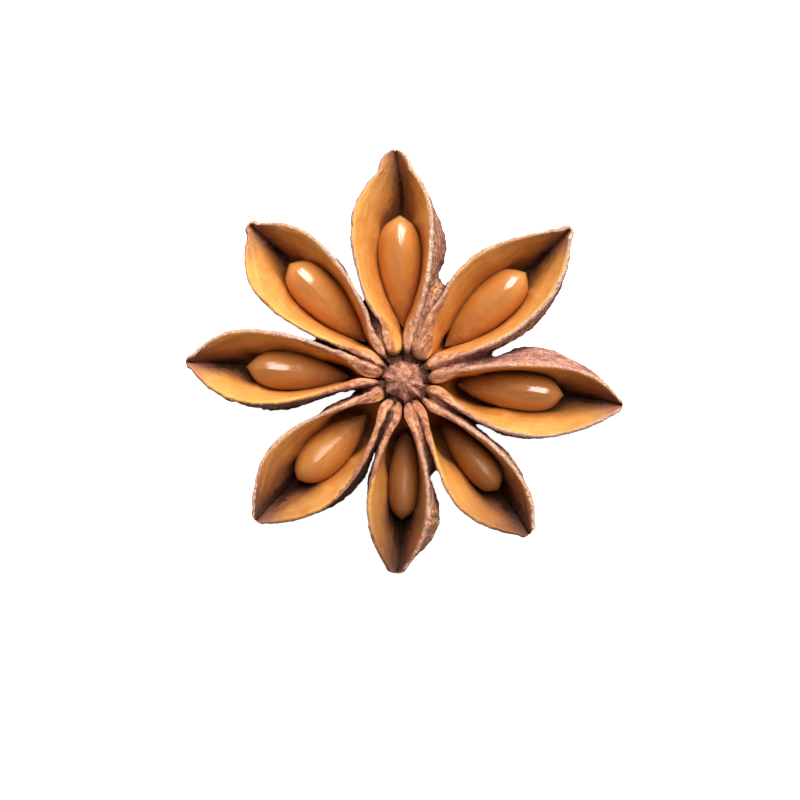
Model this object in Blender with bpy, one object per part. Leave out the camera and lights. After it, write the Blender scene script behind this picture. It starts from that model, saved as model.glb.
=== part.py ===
"""Star anise pod: eight open, boat-shaped husks round a short column, with a seed lying in each husk.

Built in metres, +Z up. The pod rests on its underside at z = 0, with the column's axis on the Z axis.
Sizes below are in millimetres and angles in degrees.

Each husk is drawn along its own axis, which runs out from the column:
    u  distance from the column's axis,
    v  distance to the left of the husk's axis, seen from above,
    z  height above the resting plane.
"""

import math
from collections import namedtuple

import bpy
import numpy as np

for old in list(bpy.data.objects):
    bpy.data.objects.remove(old, do_unlink=True)

MM = 0.001

# ---------------------------------------------------------------- the whole pod
COLUMN_R = 1.40
HUSK_START = 1.46
WALL_GAP = 0.03
WEB_REACH = 2.2
WEB_ENDS_IN = 1.5
WEB_ENDS_OUT = 0.8
VALLEY_BENDS = 2.2
VALLEY_ROUNDS = 6

# ---------------------------------------------------------------- rims and lips
RIM_AT_COLUMN = 7.15
RIM_THICK = 0.30
RIM_LEAST = 0.09
RIM_CROWN = 0.10
LIP_AT = 2.5
LIP_THICK = 0.34
LIP_FADE = 2.2
LIP_SETBACK = 0.50
SETBACK_OVER = 0.8
SETBACK_FROM = 2.2
SETBACK_FULL = 0.4
LIP_DROP = 0.45
LIP_CREST = 0.50
LIP_SLOPE = 0.80
SLIT_HALF = 0.07
OPENING_RUN = 2.2
TIP_SLOPE = 0.70
TIP_BLEND = 6
NECK_AT = 4.4
NECK_SPAN = 1.0

# ---------------------------------------------------------------- walls and keel
WALL_THICK = 0.80
WALL_SHARE = 0.46
WALL_STRAIGHT = 0.65
HOLLOW_OUT = 5.0
WALL_SHARE_FROM = 8.5
BELLY = 0.52
BOX_AT_COLUMN = 0.55
BOX_OUTSIDE = 1.10
BOX_FROM = 2.0
BOX_TO = 8.0
TIP_HALF = 0.16
TIP_RUN = 3.0
BEAK_DEPTH = 1.15
FOOT_IN = 3.2
FOOT_OUT = 5.4
HEEL_RISE = 0.35
KEEL_SWEEP = 2.1

# ---------------------------------------------------------------- cavity
FLOOR_THICK = 0.85
THIN_FLOOR = 0.40
LEAST_DEEP = 0.75
LEAST_FLARE = 0.35
EQUATOR = 0.43
SHELF_DEEP = 2.0
SHELF_IN = 2.2
SHELF_OUT = 5.6
VALLEY_SHARP = 1.3
BEYOND_FROM = 1.0
BEYOND_TO = 1.5
SHIFT_RUN = 0.2
SHIFT_LASTS = 8

# ---------------------------------------------------------------- seed sizes
SEED_CLEAR = 0.15
SEED_TOP = 2.30
SEED_BELOW = 2.00
SEED_RUN_IN = 1.4
SEED_RUN_OUT = 1.0
POINT_BLEND = 6
SEED_RISING_IN = 1.00
SEED_FALLING_OUT = 0.52

# ---------------------------------------------------------------- colours and finish
HUSK_COLOUR = (0.36, 0.15, 0.06)
SEED_COLOUR = (0.42, 0.17, 0.05)
COLUMN_COLOUR = (0.30, 0.14, 0.09)
HUSK_ROUGHNESS = 0.7
SEED_ROUGHNESS = 0.2
COLUMN_ROUGHNESS = 0.8

# ---------------------------------------------------------------- how finely each part is drawn
HUSK_STATIONS = 19
SKIN_STEPS = 3
KEEL_STEPS = 3
EVEN_SHARE = 0.45
SEED_RINGS = 8
SEED_SIDES = 10
CORNER_STEPS = 4

# One rim: half-width at the lip, greatest half-width and where it comes, half-width where the beak starts,
# how full it stays towards the beak, how late it swells, how far it draws in past the lip, and how far, where
# and over what length the outer skin swells past the rim.
Rim = namedtuple("Rim", "lip wide at blunt full swell neck bulge bulge_at bulge_span")

# One seed: its inner and outer end, its sideways offset and half-width, how quickly it narrows at each end,
# how blunt its outer end is.
Seed = namedtuple("Seed", "inner outer off half taper butt point")

# One husk: direction, tip's distance and beak's length, where the slit opens, rim's rise halfway and at the
# tip, how much the left rim stands over the right, where the crease lies beyond the seed, how hollow the
# walls are short of the seed, its two rims, and its seed.
Husk = namedtuple("Husk", "name azimuth tip beak opens crown lift tilt crease hollow left right seed")

HUSKS = [
    Husk("n", 92.2, 17.60, 1.60, 3.0, 0.75, -0.30, -0.40, -0.45, 0.25,
         Rim(1.25, 3.62, 11.5, 1.40, 2.10, 1.00, 0.40, 0.00, 9.0, 3.0),
         Rim(0.60, 2.68, 11.9, 1.30, 2.60, 1.00, 0.00, 1.05, 10.0, 2.6),
         Seed(4.2, 12.80, -0.06, 1.72, 0.95, 0.50, 9.0)),
    Husk("ne", 42.5, 17.20, 0.60, 2.6, 0.65, 0.10, -0.10, -0.20, 0.30,
         Rim(1.55, 3.50, 9.9, 0.50, 1.55, 1.00, 0.00, 0.00, 9.0, 3.0),
         Rim(0.70, 3.12, 10.3, 0.65, 2.60, 1.00, 0.00, 0.50, 9.8, 4.0),
         Seed(4.2, 12.60, -0.17, 1.70, 0.80, 0.47, 8.5)),
    Husk("e", -6.3, 16.75, 0.35, 2.0, 0.70, -0.20, 0.45, 0.35, 0.70,
         Rim(1.05, 2.45, 11.0, 0.50, 3.00, 1.00, 0.00, 1.30, 9.9, 3.5),
         Rim(0.80, 3.20, 9.6, 0.60, 2.05, 1.00, 0.00, 0.15, 8.5, 3.0),
         Seed(4.2, 12.35, 0.25, 1.53, 0.72, 0.44, 8.0)),
    Husk("se", -50.8, 15.05, 0.45, 1.8, 0.50, 0.20, 0.15, 0.40, 0.80,
         Rim(0.50, 2.42, 10.0, 0.85, 2.70, 1.00, 0.00, 0.28, 9.2, 1.8),
         Rim(0.75, 2.88, 9.8, 0.65, 1.95, 1.25, 0.00, 0.00, 9.0, 3.0),
         Seed(4.3, 11.10, 0.38, 1.30, 0.75, 0.42, 10.0)),
    Husk("s", 267.9, 14.65, 0.45, 1.8, 0.45, -0.40, 0.30, 0.20, 0.90,
         Rim(0.85, 2.30, 9.5, 0.75, 2.20, 1.05, 0.00, 0.84, 10.8, 2.5),
         Rim(0.65, 2.46, 9.4, 0.85, 2.00, 1.00, 0.00, 0.05, 6.8, 2.0),
         Seed(4.0, 10.70, 0.28, 1.20, 0.55, 0.40, 8.0)),
    Husk("sw", 223.4, 15.45, 0.40, 1.7, 0.60, 0.25, 0.20, -0.20, 0.80,
         Rim(0.80, 3.00, 9.8, 0.60, 2.10, 1.00, 0.00, 0.57, 7.8, 2.8),
         Rim(1.25, 3.38, 10.4, 0.80, 1.90, 1.15, 0.00, 0.00, 9.0, 3.0),
         Seed(3.9, 11.15, -0.12, 1.65, 0.85, 0.56, 11.0)),
    Husk("w", 175.0, 16.65, 0.45, 2.5, 0.55, -0.10, 0.15, -0.20, 0.55,
         Rim(0.50, 2.75, 11.3, 0.50, 2.40, 1.25, 0.00, 0.46, 9.0, 2.8),
         Rim(1.00, 2.93, 11.4, 0.60, 2.50, 1.00, 0.00, 0.00, 9.0, 3.0),
         Seed(4.2, 12.20, 0.00, 1.53, 0.88, 0.48, 7.0)),
    Husk("nw", 134.6, 16.72, 0.50, 2.6, 0.70, 0.30, -0.05, -0.12, 0.35,
         Rim(0.60, 3.42, 11.7, 0.65, 2.50, 1.15, 0.00, 0.00, 9.0, 3.0),
         Rim(0.70, 2.85, 11.6, 0.60, 2.60, 1.00, 0.35, 0.30, 8.0, 1.6),
         Seed(4.2, 12.65, -0.05, 1.68, 0.92, 0.50, 9.5)),
]

# The valley between each husk and the next, going anticlockwise: its direction by the column, and the
# direction and distance at which the walls part.
Parting = namedtuple("Parting", "near azimuth radius")
PARTINGS = {
    ("e", "ne"): Parting(18.5, 16.7, 6.2),
    ("ne", "n"): Parting(78.5, 65.5, 7.5),
    ("n", "nw"): Parting(123.0, 118.2, 6.3),
    ("nw", "w"): Parting(148.0, 155.5, 6.9),
    ("w", "sw"): Parting(188.5, 194.0, 3.2),
    ("sw", "s"): Parting(248.0, 247.5, 4.8),
    ("s", "se"): Parting(290.0, 289.6, 6.7),
    ("se", "e"): Parting(323.5, 328.2, 5.6),
}


def smooth(start, stop, x):
    """Rises from 0 at start to 1 at stop, level at both ends."""
    t = min(max((x - start) / (stop - start), 0.0), 1.0)
    return t * t * (3.0 - 2.0 * t)


def share_between(start, stop, x):
    """0 at start, 1 at stop and in proportion between them."""
    return min(max((x - start) / (stop - start), 0.0), 1.0)


# ---------------------------------------------------------------- outlines of a husk, as functions of u
def parting_of(husk, side):
    """The parting on the husk's left (+1) or right (-1), its directions as angles from the husk's axis."""
    for (before, after), parting in PARTINGS.items():
        if husk.name == (before if side > 0 else after):
            near = math.radians(side * (parting.near - husk.azimuth) % 360.0)
            far = math.radians(side * (parting.azimuth - husk.azimuth) % 360.0)
            return Parting(near, far, parting.radius)


def rim_of(husk, side):
    return husk.left if side > 0 else husk.right


def sector_limit(husk, side, u):
    """Half-width at which the husk meets the next one, along the valley between them."""
    parting = parting_of(husk, side)
    angle = parting.near
    for _ in range(VALLEY_ROUNDS):
        bent = smooth(VALLEY_BENDS, parting.radius, u / math.cos(angle))
        angle = parting.near + (parting.azimuth - parting.near) * bent
    return u * math.tan(angle) - WALL_GAP / math.cos(angle)


def rim_half(husk, side, u):
    """Half-width to the rim's outer edge: swells from the lip, closes to the beak, and ends round."""
    rim = rim_of(husk, side)
    rise = share_between(LIP_AT, rim.at, u) ** rim.swell
    if u < rim.at:
        swelling = rim.lip + (rim.wide - rim.lip) * math.sin(0.5 * math.pi * rise)
        swelling -= rim.neck * math.exp(-(((u - NECK_AT) / NECK_SPAN) ** 2))
        return min(swelling, sector_limit(husk, side, u))
    beak_from = husk.tip - husk.beak
    closing = rim.blunt + (rim.wide - rim.blunt) * (1.0 - share_between(rim.at, beak_from, u) ** rim.full)
    rounding = math.sqrt(1.0 - share_between(beak_from, husk.tip, u) ** 2)
    return max(closing * rounding, TIP_HALF)


def along(husk, u):
    """How far along the husk u is: 0 at the column, 1 at the tip."""
    return share_between(HUSK_START, husk.tip, u)


def beyond_seed(husk, u):
    """0 where the seed lies, 1 in the crease beyond it."""
    return smooth(husk.seed.outer - BEYOND_FROM, husk.seed.outer + BEYOND_TO, u)


def rim_height(husk, side, u):
    """Height of the rim: bowed up halfway, rising or drooping to the tip, rounded down at the lip."""
    bow = math.sin(math.pi * along(husk, u))
    height = RIM_AT_COLUMN + husk.crown * bow + husk.lift * along(husk, u) ** 3
    height += side * 0.5 * husk.tilt * bow
    return height - LIP_DROP * (1.0 - smooth(HUSK_START, LIP_AT, u))


def keel_height(husk, u):
    """Height of the keel: flat on the table near the column, then sweeping up to the beak."""
    beak = RIM_AT_COLUMN + husk.lift - BEAK_DEPTH
    sweep = share_between(FOOT_OUT, husk.tip, u)
    heel = 1.0 - share_between(HUSK_START, FOOT_IN, u)
    return beak * sweep ** KEEL_SWEEP + HEEL_RISE * heel ** 2


def floor_height(husk, u):
    """Height of the cavity's floor, which shelves up to the slit at the column and to the beak."""
    rim = rim_height(husk, 1, u)
    shelf = (rim - SHELF_DEEP) * (1.0 - smooth(SHELF_IN, SHELF_OUT, u))
    thick = FLOOR_THICK + (THIN_FLOOR - FLOOR_THICK) * beyond_seed(husk, u)
    return min(max(keel_height(husk, u) + thick, shelf), rim - LEAST_DEEP)


def equator_height(husk, u):
    """Height at which the cavity turns from flaring wall to rounded floor; the seed's axis lies on it."""
    floor = keel_height(husk, u) + FLOOR_THICK
    return floor + EQUATOR * (rim_height(husk, 1, u) - floor)


def axis_shift(husk, u):
    """Sideways shift of the cavity, seed and keel from the husk's axis; beyond the seed, of the crease."""
    shift = husk.seed.off + (husk.crease - husk.seed.off) * beyond_seed(husk, u)
    return shift * smooth(0.0, SHIFT_RUN, along(husk, u)) * (1.0 - along(husk, u) ** SHIFT_LASTS)


def seed_shape(seed, x):
    """Outline of the seed, 0 to 1: narrow inner end, fullest beyond halfway, blunt outer end just pointed."""
    if x in (0.0, 1.0):
        return 0.0
    peak = seed.taper / (seed.taper + seed.butt)
    full = (x / peak) ** seed.taper * ((1.0 - x) / (1.0 - peak)) ** seed.butt
    point = seed.point * (1.0 - x)
    return (full ** -POINT_BLEND + point ** -POINT_BLEND) ** (-1.0 / POINT_BLEND)


def seed_rise(x):
    """Height of the seed's top and bottom from its axis, 0 to 1: highest nearer the outer end."""
    peak = SEED_RISING_IN / (SEED_RISING_IN + SEED_FALLING_OUT)
    return (x / peak) ** SEED_RISING_IN * ((1.0 - x) / (1.0 - peak)) ** SEED_FALLING_OUT


def opening_half(husk, side, u):
    """Half-width to the rim's inner edge: a slit at the lip, the rim's width less its thickness beyond."""
    thick = RIM_THICK + LIP_THICK * math.exp((LIP_AT - u) / LIP_FADE)
    wide = max(rim_half(husk, side, u) - thick, SLIT_HALF)
    opened = smooth(husk.opens, husk.opens + OPENING_RUN, u)
    half = SLIT_HALF + (wide - SLIT_HALF) * opened
    narrowing = SLIT_HALF + TIP_SLOPE * (husk.tip - u)
    half = (half ** -TIP_BLEND + narrowing ** -TIP_BLEND) ** (-1.0 / TIP_BLEND)
    return min(half, rim_half(husk, side, u) - RIM_LEAST)


def lip_sink(husk, side, u):
    """How far the inner edge of a wide lip lies below its outer edge."""
    return LIP_SLOPE * max(rim_half(husk, side, u) - opening_half(husk, side, u) - LIP_CREST, 0.0)


def cavity_half(husk, side, u):
    """Half-width of the cavity at the seed's axis, measured from the shifted axis."""
    seed = husk.seed
    round_seed = seed.half * seed_shape(seed, share_between(seed.inner, seed.outer, u)) + SEED_CLEAR
    round_seed *= smooth(seed.inner - SEED_RUN_IN, seed.inner, u)
    round_seed *= 1.0 - smooth(seed.outer, seed.outer + SEED_RUN_OUT, u)
    hollow = husk.hollow + (WALL_SHARE - husk.hollow) * smooth(HOLLOW_OUT, WALL_SHARE_FROM, u)
    wall = hollow * (opening_half(husk, side, u) - side * axis_shift(husk, u))
    return max(round_seed, wall, 0.5 * SLIT_HALF)


def skin_half(husk, side, u):
    """Greatest half-width of the outer skin below the rim."""
    rim = rim_of(husk, side)
    parted = parting_of(husk, side).radius
    joined = 1.0 - smooth(parted - WEB_ENDS_IN, parted + WEB_ENDS_OUT, u)
    hump = math.exp(-(((u - rim.bulge_at) / rim.bulge_span) ** 2))
    seen = rim_half(husk, side, u) + rim.bulge * hump + WEB_REACH * joined
    wall = cavity_half(husk, side, u) + side * axis_shift(husk, u) + WALL_THICK
    near_tip = smooth(husk.tip - TIP_RUN, husk.tip, u)
    return max(seen, wall) * (1.0 - near_tip) + rim_half(husk, side, u) * near_tip


# ---------------------------------------------------------------- the husk's section
def outer_side(husk, side, u):
    """Points (v, z) down one outer wall, from the rim's edge to the keel."""
    rim = rim_half(husk, side, u)
    top = rim_height(husk, side, u)
    skin = skin_half(husk, side, u)
    keel = keel_height(husk, u)
    shift = side * axis_shift(husk, u)
    belly = keel + BELLY * (top - keel)
    points = []
    for step in range(SKIN_STEPS):
        t = step / SKIN_STEPS
        v = rim + (skin - rim) * math.sin(0.5 * math.pi * t)
        points.append((side * v, top + (belly - top) * t))
    box = BOX_AT_COLUMN + (BOX_OUTSIDE - BOX_AT_COLUMN) * smooth(BOX_FROM, BOX_TO, u)
    for step in range(KEEL_STEPS):
        angle = 0.5 * math.pi * step / KEEL_STEPS
        v = shift + (skin - shift) * math.cos(angle) ** box
        points.append((side * v, belly - (belly - keel) * math.sin(angle)))
    return points


def inner_side(husk, side, u):
    """Points (v, z) down one inner wall, from the rim's inner edge to the cavity's floor."""
    rim = opening_half(husk, side, u)
    top = rim_height(husk, side, u) - lip_sink(husk, side, u)
    floor = floor_height(husk, u)
    shift = side * axis_shift(husk, u)
    waist = cavity_half(husk, side, u) + shift
    belly = max(equator_height(husk, u), floor + LEAST_FLARE * (top - floor))
    points = []
    for step in range(SKIN_STEPS):
        t = step / SKIN_STEPS
        bowed = WALL_STRAIGHT * t + (1.0 - WALL_STRAIGHT) * math.sin(0.5 * math.pi * t)
        points.append((side * (rim + (waist - rim) * bowed), top + (belly - top) * t))
    sharp = 1.0 + VALLEY_SHARP * beyond_seed(husk, u)
    for step in range(KEEL_STEPS):
        angle = 0.5 * math.pi * step / KEEL_STEPS
        v = shift + (waist - shift) * math.cos(angle) ** sharp
        points.append((side * v, belly - (belly - floor) * math.sin(angle) ** sharp))
    return points


def husk_section(husk, u):
    """Closed section (v, z), with as many inner points as outer ones: left rim, keel, right rim, floor."""
    shift = axis_shift(husk, u)
    outer_left = outer_side(husk, 1, u)
    outer_right = outer_side(husk, -1, u)
    inner_left = inner_side(husk, 1, u)
    inner_right = inner_side(husk, -1, u)
    outer = outer_left + [(shift, keel_height(husk, u))] + outer_right[::-1]
    inner = inner_left + [(shift, floor_height(husk, u))] + inner_right[::-1]
    crests = []
    for outer_edge, inner_edge in ((outer_left[0], inner_left[0]), (outer_right[0], inner_right[0])):
        crests.append((0.5 * (outer_edge[0] + inner_edge[0]), outer_edge[1] + RIM_CROWN))
    return outer, inner, crests


def set_back(husk, u, z):
    """The lips stop a little short of the column: points near the rim there move outwards."""
    top = rim_height(husk, 1, u)
    near_top = smooth(top - SETBACK_FROM, top - SETBACK_FULL, z)
    return u + LIP_SETBACK * near_top * (1.0 - smooth(HUSK_START, LIP_AT + SETBACK_OVER, u))


def placed(husk, u, v, z):
    """One point of a husk in the pod's frame, kept inside its own sector."""
    u = set_back(husk, u, z)
    v = max(-sector_limit(husk, -1, u), min(sector_limit(husk, 1, u), v))
    turn = math.radians(husk.azimuth)
    x = u * math.cos(turn) - v * math.sin(turn)
    y = u * math.sin(turn) + v * math.cos(turn)
    return (x * MM, y * MM, z * MM)


def stations(husk):
    """Distances along the husk, closer together at both ends."""
    for step in range(HUSK_STATIONS):
        t = step / (HUSK_STATIONS - 1)
        eased = 0.5 - 0.5 * math.cos(math.pi * t)
        yield HUSK_START + (husk.tip - HUSK_START) * (EVEN_SHARE * t + (1.0 - EVEN_SHARE) * eased)


# ---------------------------------------------------------------- making objects
def add_object(name, points, faces, colour, roughness):
    """A smooth mesh object with a material of its own."""
    mesh = bpy.data.meshes.new(name)
    mesh.from_pydata(points, [], faces)
    mesh.materials.append(add_material(name, colour, roughness))
    mesh.update()
    thing = bpy.data.objects.new(name, mesh)
    bpy.context.collection.objects.link(thing)
    for face in mesh.polygons:
        face.use_smooth = True
    return thing


def add_material(name, colour, roughness):
    material = bpy.data.materials.new(name)
    material.use_nodes = True
    shader = material.node_tree.nodes["Principled BSDF"]
    shader.inputs["Base Color"].default_value = (*colour, 1.0)
    shader.inputs["Roughness"].default_value = roughness
    shader.inputs["Metallic"].default_value = 0.0
    return material


def join_rings(faces, rings, inwards):
    """Adds the quads between neighbouring rings of points, facing away from the rings' middle."""
    for near, far in zip(rings, rings[1:]):
        for i in range(len(near)):
            j = (i + 1) % len(near)
            quad = (near[i], near[j], far[j], far[i])
            faces.append(quad[::-1] if inwards else quad)


def add_caps(faces, near, far, steps):
    """Closes both end sections with strips between their outer and inner points."""
    last = len(near) - 1
    for ring, flip in ((near, False), (far, True)):
        strips = [(ring[last], ring[0], ring[last - 1]), (ring[steps - 1], ring[steps], ring[steps + 1])]
        for i in range(steps - 1):
            strips.append((ring[i], ring[i + 1], ring[last - 2 - i], ring[last - 1 - i]))
        for strip in strips:
            faces.append(strip[::-1] if flip else strip)


def build_husk(husk):
    """A closed tube of sections bent into a trough, capped at the column and at the tip."""
    points, faces, rings = [], [], []
    for u in stations(husk):
        outer, inner, crests = husk_section(husk, u)
        loop = outer + [crests[1]] + inner[::-1] + [crests[0]]
        rings.append(range(len(points), len(points) + len(loop)))
        points.extend(placed(husk, u, v, z) for v, z in loop)
    join_rings(faces, rings, True)
    add_caps(faces, rings[0], rings[-1], len(outer))
    return add_object("carpel_" + husk.name, points, faces, HUSK_COLOUR, HUSK_ROUGHNESS)


def seed_ring(husk, x):
    """One ring of points round the seed, a share x of the way along it."""
    u = husk.seed.inner + x * (husk.seed.outer - husk.seed.inner)
    middle = axis_shift(husk, u)
    height = equator_height(husk, u)
    for i in range(SEED_SIDES):
        angle = 2.0 * math.pi * i / SEED_SIDES + 0.5 * math.pi
        across = husk.seed.half * seed_shape(husk.seed, x) * math.cos(angle)
        deep = SEED_TOP if math.sin(angle) > 0.0 else SEED_BELOW
        yield placed(husk, u, middle + across, height + deep * seed_rise(x) * math.sin(angle))


def build_seed(husk):
    """A compressed seed, narrow at its inner end and blunt at its outer end."""
    points, faces, rings = [], [], []
    for step in range(1, SEED_RINGS + 1):
        x = 0.5 - 0.5 * math.cos(math.pi * step / (SEED_RINGS + 1))
        points.extend(seed_ring(husk, x))
        rings.append(range(len(points) - SEED_SIDES, len(points)))
    join_rings(faces, rings, False)
    for u, ring, flip in ((husk.seed.inner, rings[0], True), (husk.seed.outer, rings[-1], False)):
        points.append(placed(husk, u, axis_shift(husk, u), equator_height(husk, u)))
        for i in range(SEED_SIDES):
            corner = (len(points) - 1, ring[i], ring[(i + 1) % SEED_SIDES])
            faces.append(corner[::-1] if flip else corner)
    return add_object("seed_" + husk.name, points, faces, SEED_COLOUR, SEED_ROUGHNESS)


# ---------------------------------------------------------------- the column
# Outline of the column, from the stalk scar up to the head's edge: height, radius, how far it has taken
# the head's shape.
COLUMN_OUTLINE = [
    (0.00, 1.22, 0.0),
    (0.30, 1.36, 0.0),
    (3.00, COLUMN_R, 0.0),
    (5.60, 1.30, 0.0),
    (6.20, 1.24, 0.2),
    (6.60, 1.22, 0.6),
    (6.85, 1.20, 1.0),
]
# The head's corners: direction and distance.
HEAD_CORNERS = [
    (52.0, 1.60), (96.0, 1.60), (130.0, 1.72), (168.0, 1.64),
    (212.0, 1.53), (269.0, 1.62), (314.0, 1.76), (347.0, 1.76),
]
HEAD_TOP = 7.50
HEAD_SHARES = (0.8, 0.5, 0.2)
EDGE_HOLLOW = 0.06
VALLEY_NORTH = 0.16
VALLEY_SOUTH = 0.52


def head_outline():
    """Round the head: direction, reach, and how deep its top lies, up to nothing at the corners."""
    for corner, following in zip(HEAD_CORNERS, HEAD_CORNERS[1:] + HEAD_CORNERS[:1]):
        gap = math.radians((following[0] - corner[0]) % 360.0)
        for step in range(CORNER_STEPS):
            turned = gap * step / CORNER_STEPS
            straight = corner[1] * math.sin(gap - turned) + following[1] * math.sin(turned)
            between = 1.0 - abs(2.0 * step / CORNER_STEPS - 1.0)
            reach = corner[1] * following[1] * math.sin(gap) / straight * (1.0 - EDGE_HOLLOW * between)
            angle = math.radians(corner[0]) + turned
            southward = 0.5 - 0.5 * math.sin(angle)
            deep = (VALLEY_NORTH + (VALLEY_SOUTH - VALLEY_NORTH) * southward ** 2) * between
            yield angle, reach, deep


def column_point(angle, reach, height):
    return (reach * math.cos(angle) * MM, reach * math.sin(angle) * MM, height * MM)


def build_column():
    """A round stem that spreads into a many-cornered head, lower between the corners."""
    points, faces, rings = [], [], []
    outline = list(head_outline())
    for height, radius, shaped in COLUMN_OUTLINE:
        for angle, reach, deep in outline:
            spread = radius + (reach - radius) * shaped
            points.append(column_point(angle, spread, height - shaped * deep))
    edge = COLUMN_OUTLINE[-1][0]
    for share in HEAD_SHARES:
        for angle, reach, deep in outline:
            height = HEAD_TOP - (HEAD_TOP - edge) * share ** 3
            points.append(column_point(angle, share * reach, height - deep * share))
    sides = len(outline)
    for first in range(0, len(points), sides):
        rings.append(range(first, first + sides))
    join_rings(faces, rings, False)
    faces.append(tuple(rings[0])[::-1])
    points.append(column_point(0.0, 0.0, HEAD_TOP))
    for i in range(sides):
        faces.append((rings[-1][i], rings[-1][(i + 1) % sides], len(points) - 1))
    return add_object("column", points, faces, COLUMN_COLOUR, COLUMN_ROUGHNESS)


for one in HUSKS:
    build_husk(one)
    build_seed(one)
build_column()
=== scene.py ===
"""Looks of the star anise pod: wrinkled, boat-shaped husks round a rough column, a glossy seed in each husk.

Sizes below are in millimetres and angles in degrees, as in the model that the frame holds; meshes in metres.

Each husk is drawn along its own axis, which runs out from the column:
    u  distance from the column's axis,
    v  distance to the left of the husk's axis, seen from above,
    z  height above the resting plane.
"""

import itertools
import math
from collections import namedtuple

import bpy
import numpy as np
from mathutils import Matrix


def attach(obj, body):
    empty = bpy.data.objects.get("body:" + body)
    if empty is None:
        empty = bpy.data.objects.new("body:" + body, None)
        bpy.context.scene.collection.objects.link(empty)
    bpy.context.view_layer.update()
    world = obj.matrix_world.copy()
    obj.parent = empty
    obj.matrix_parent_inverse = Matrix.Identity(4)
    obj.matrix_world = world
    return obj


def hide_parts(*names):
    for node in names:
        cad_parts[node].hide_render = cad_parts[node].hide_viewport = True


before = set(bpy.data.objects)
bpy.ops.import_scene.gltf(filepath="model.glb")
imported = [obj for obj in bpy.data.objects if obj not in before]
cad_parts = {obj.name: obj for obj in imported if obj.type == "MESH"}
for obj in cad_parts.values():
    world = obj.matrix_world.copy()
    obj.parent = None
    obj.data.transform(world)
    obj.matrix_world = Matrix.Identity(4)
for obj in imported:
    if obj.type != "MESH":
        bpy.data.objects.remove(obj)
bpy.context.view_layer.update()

MM = 0.001
TINY = 1e-12

# ---------------------------------------------------------------- the whole pod, as in the frame
COLUMN_R = 1.40
HUSK_START = 1.46
WEB_REACH = 2.2
WEB_ENDS_IN = 1.5
WEB_ENDS_OUT = 0.8
VALLEY_BENDS = 2.2
VALLEY_ROUNDS = 6

# ---------------------------------------------------------------- rims and lips, as in the frame
RIM_AT_COLUMN = 7.15
RIM_THICK = 0.30
RIM_LEAST = 0.09
LIP_AT = 2.5
LIP_THICK = 0.34
LIP_FADE = 2.2
LIP_CREST = 0.50
LIP_SLOPE = 0.80
SLIT_HALF = 0.07
OPENING_RUN = 2.2
TIP_SLOPE = 0.70
TIP_BLEND = 6

# ---------------------------------------------------------------- walls, keel and cavity, as in the frame
WALL_THICK = 0.80
WALL_SHARE = 0.46
WALL_STRAIGHT = 0.65
HOLLOW_OUT = 5.0
WALL_SHARE_FROM = 8.5
BELLY = 0.52
BOX_AT_COLUMN = 0.55
BOX_OUTSIDE = 1.10
BOX_FROM = 2.0
BOX_TO = 8.0
TIP_HALF = 0.16
TIP_RUN = 3.0
BEAK_DEPTH = 1.15
FOOT_IN = 3.2
FOOT_OUT = 5.4
HEEL_RISE = 0.35
KEEL_SWEEP = 2.1
FLOOR_THICK = 0.85
THIN_FLOOR = 0.40
LEAST_DEEP = 0.75
LEAST_FLARE = 0.35
EQUATOR = 0.43
SHELF_DEEP = 2.0
SHELF_IN = 2.2
SHELF_OUT = 5.6
VALLEY_SHARP = 1.3
BEYOND_FROM = 1.0
BEYOND_TO = 1.5
SHIFT_RUN = 0.2
SHIFT_LASTS = 8
NECK_AT = 4.4
NECK_SPAN = 1.0

# ---------------------------------------------------------------- seed sizes, as in the frame
SEED_TOP = 2.30
SEED_BELOW = 2.00
SEED_RUN_IN = 1.4
SEED_RUN_OUT = 1.0
POINT_BLEND = 6
SEED_RISING_IN = 1.00
SEED_FALLING_OUT = 0.52

# ---------------------------------------------------------------- detail that only shows
GROWN_INTO = 0.05
SHOWN_START = 1.10
LIP_ROUND = 0.45
KNOB_ROUND = 0.30
KNOB_SHARP = 2.5
MOAT_DEPTH = 1.30
MOAT_REACH = 3.40
MOAT_FULL = 0.20
CREST_RISE = 0.36
CREST_NARROWEST = 0.01
CREST_PEAK = (0.2, 0.5)
CREST_DROPS_FROM = 0.1
WEB_AT_COLUMN = 0.55
WEB_AT_PARTING = 2.7
WEB_BEND = 1.7
WEB_SOFT = 0.8
SEED_HUGGED = -0.03
SEED_RIDGE = 0.020
RIDGE_WIDTH = 0.07
ROOF_FULL = 2.1
WART_SPAN = 1.1
WARTS_FROM_AXIS = (0.3, 0.9)
WARTS_FADE = (3.6, 1.6)
VALLEY_HALF = 0.45
SIDES_BLEND = 0.4
LAP_FROM = 2.8
BROWNING_AND_SHADE_RUN = (7.5, 1.5)
# How much painted shade darkens each seed's inner end, and over what distances from the column.
SUNK_WEIGHT = 0.55
SUNK_RUN = (6.2, 3.8)

# ---------------------------------------------------------------- how finely each piece is drawn
HUSK_STATIONS = 180
EVEN_SHARE = 0.45
WALL_POINTS = 93
CREST_POINTS = 11
CURVE_POINTS = 60
SEED_RINGS = 72
SEED_SIDES = 96
COLUMN_SIDES = 192

# One rim. Shape: half-width at the lip, greatest half-width and where it comes, half-width where the beak
# starts, how full it stays towards the beak, how late it swells, how far it draws in past the lip, how far,
# where and over what length the outer skin swells past the rim, where the lip ends, where a warty patch lies
# on the skin (0 for none). Looks, 0 to 1 but for the lap in millimetres: how pale the rim's edge is, how much
# dark colour and painted shade the skin below it gets, how rosy that skin is, how far the skin laps over the
# rim at the lip and where that ends, how much browning and painted shade the inner wall gets towards the tip.
Rim = namedtuple("Rim", "lip wide at blunt full swell neck bulge bulge_at bulge_span end wart "
                 "pale dark rosy lap lap_to brown")

# One seed: its inner and outer end, its sideways offset and half-width, how quickly it narrows at each end,
# how blunt its outer end is, how light it is (its own tone, and painted shade on the seeds that lie in
# shade), and how glossy it is.
Seed = namedtuple("Seed", "inner outer off half taper butt point tone gloss")
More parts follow.
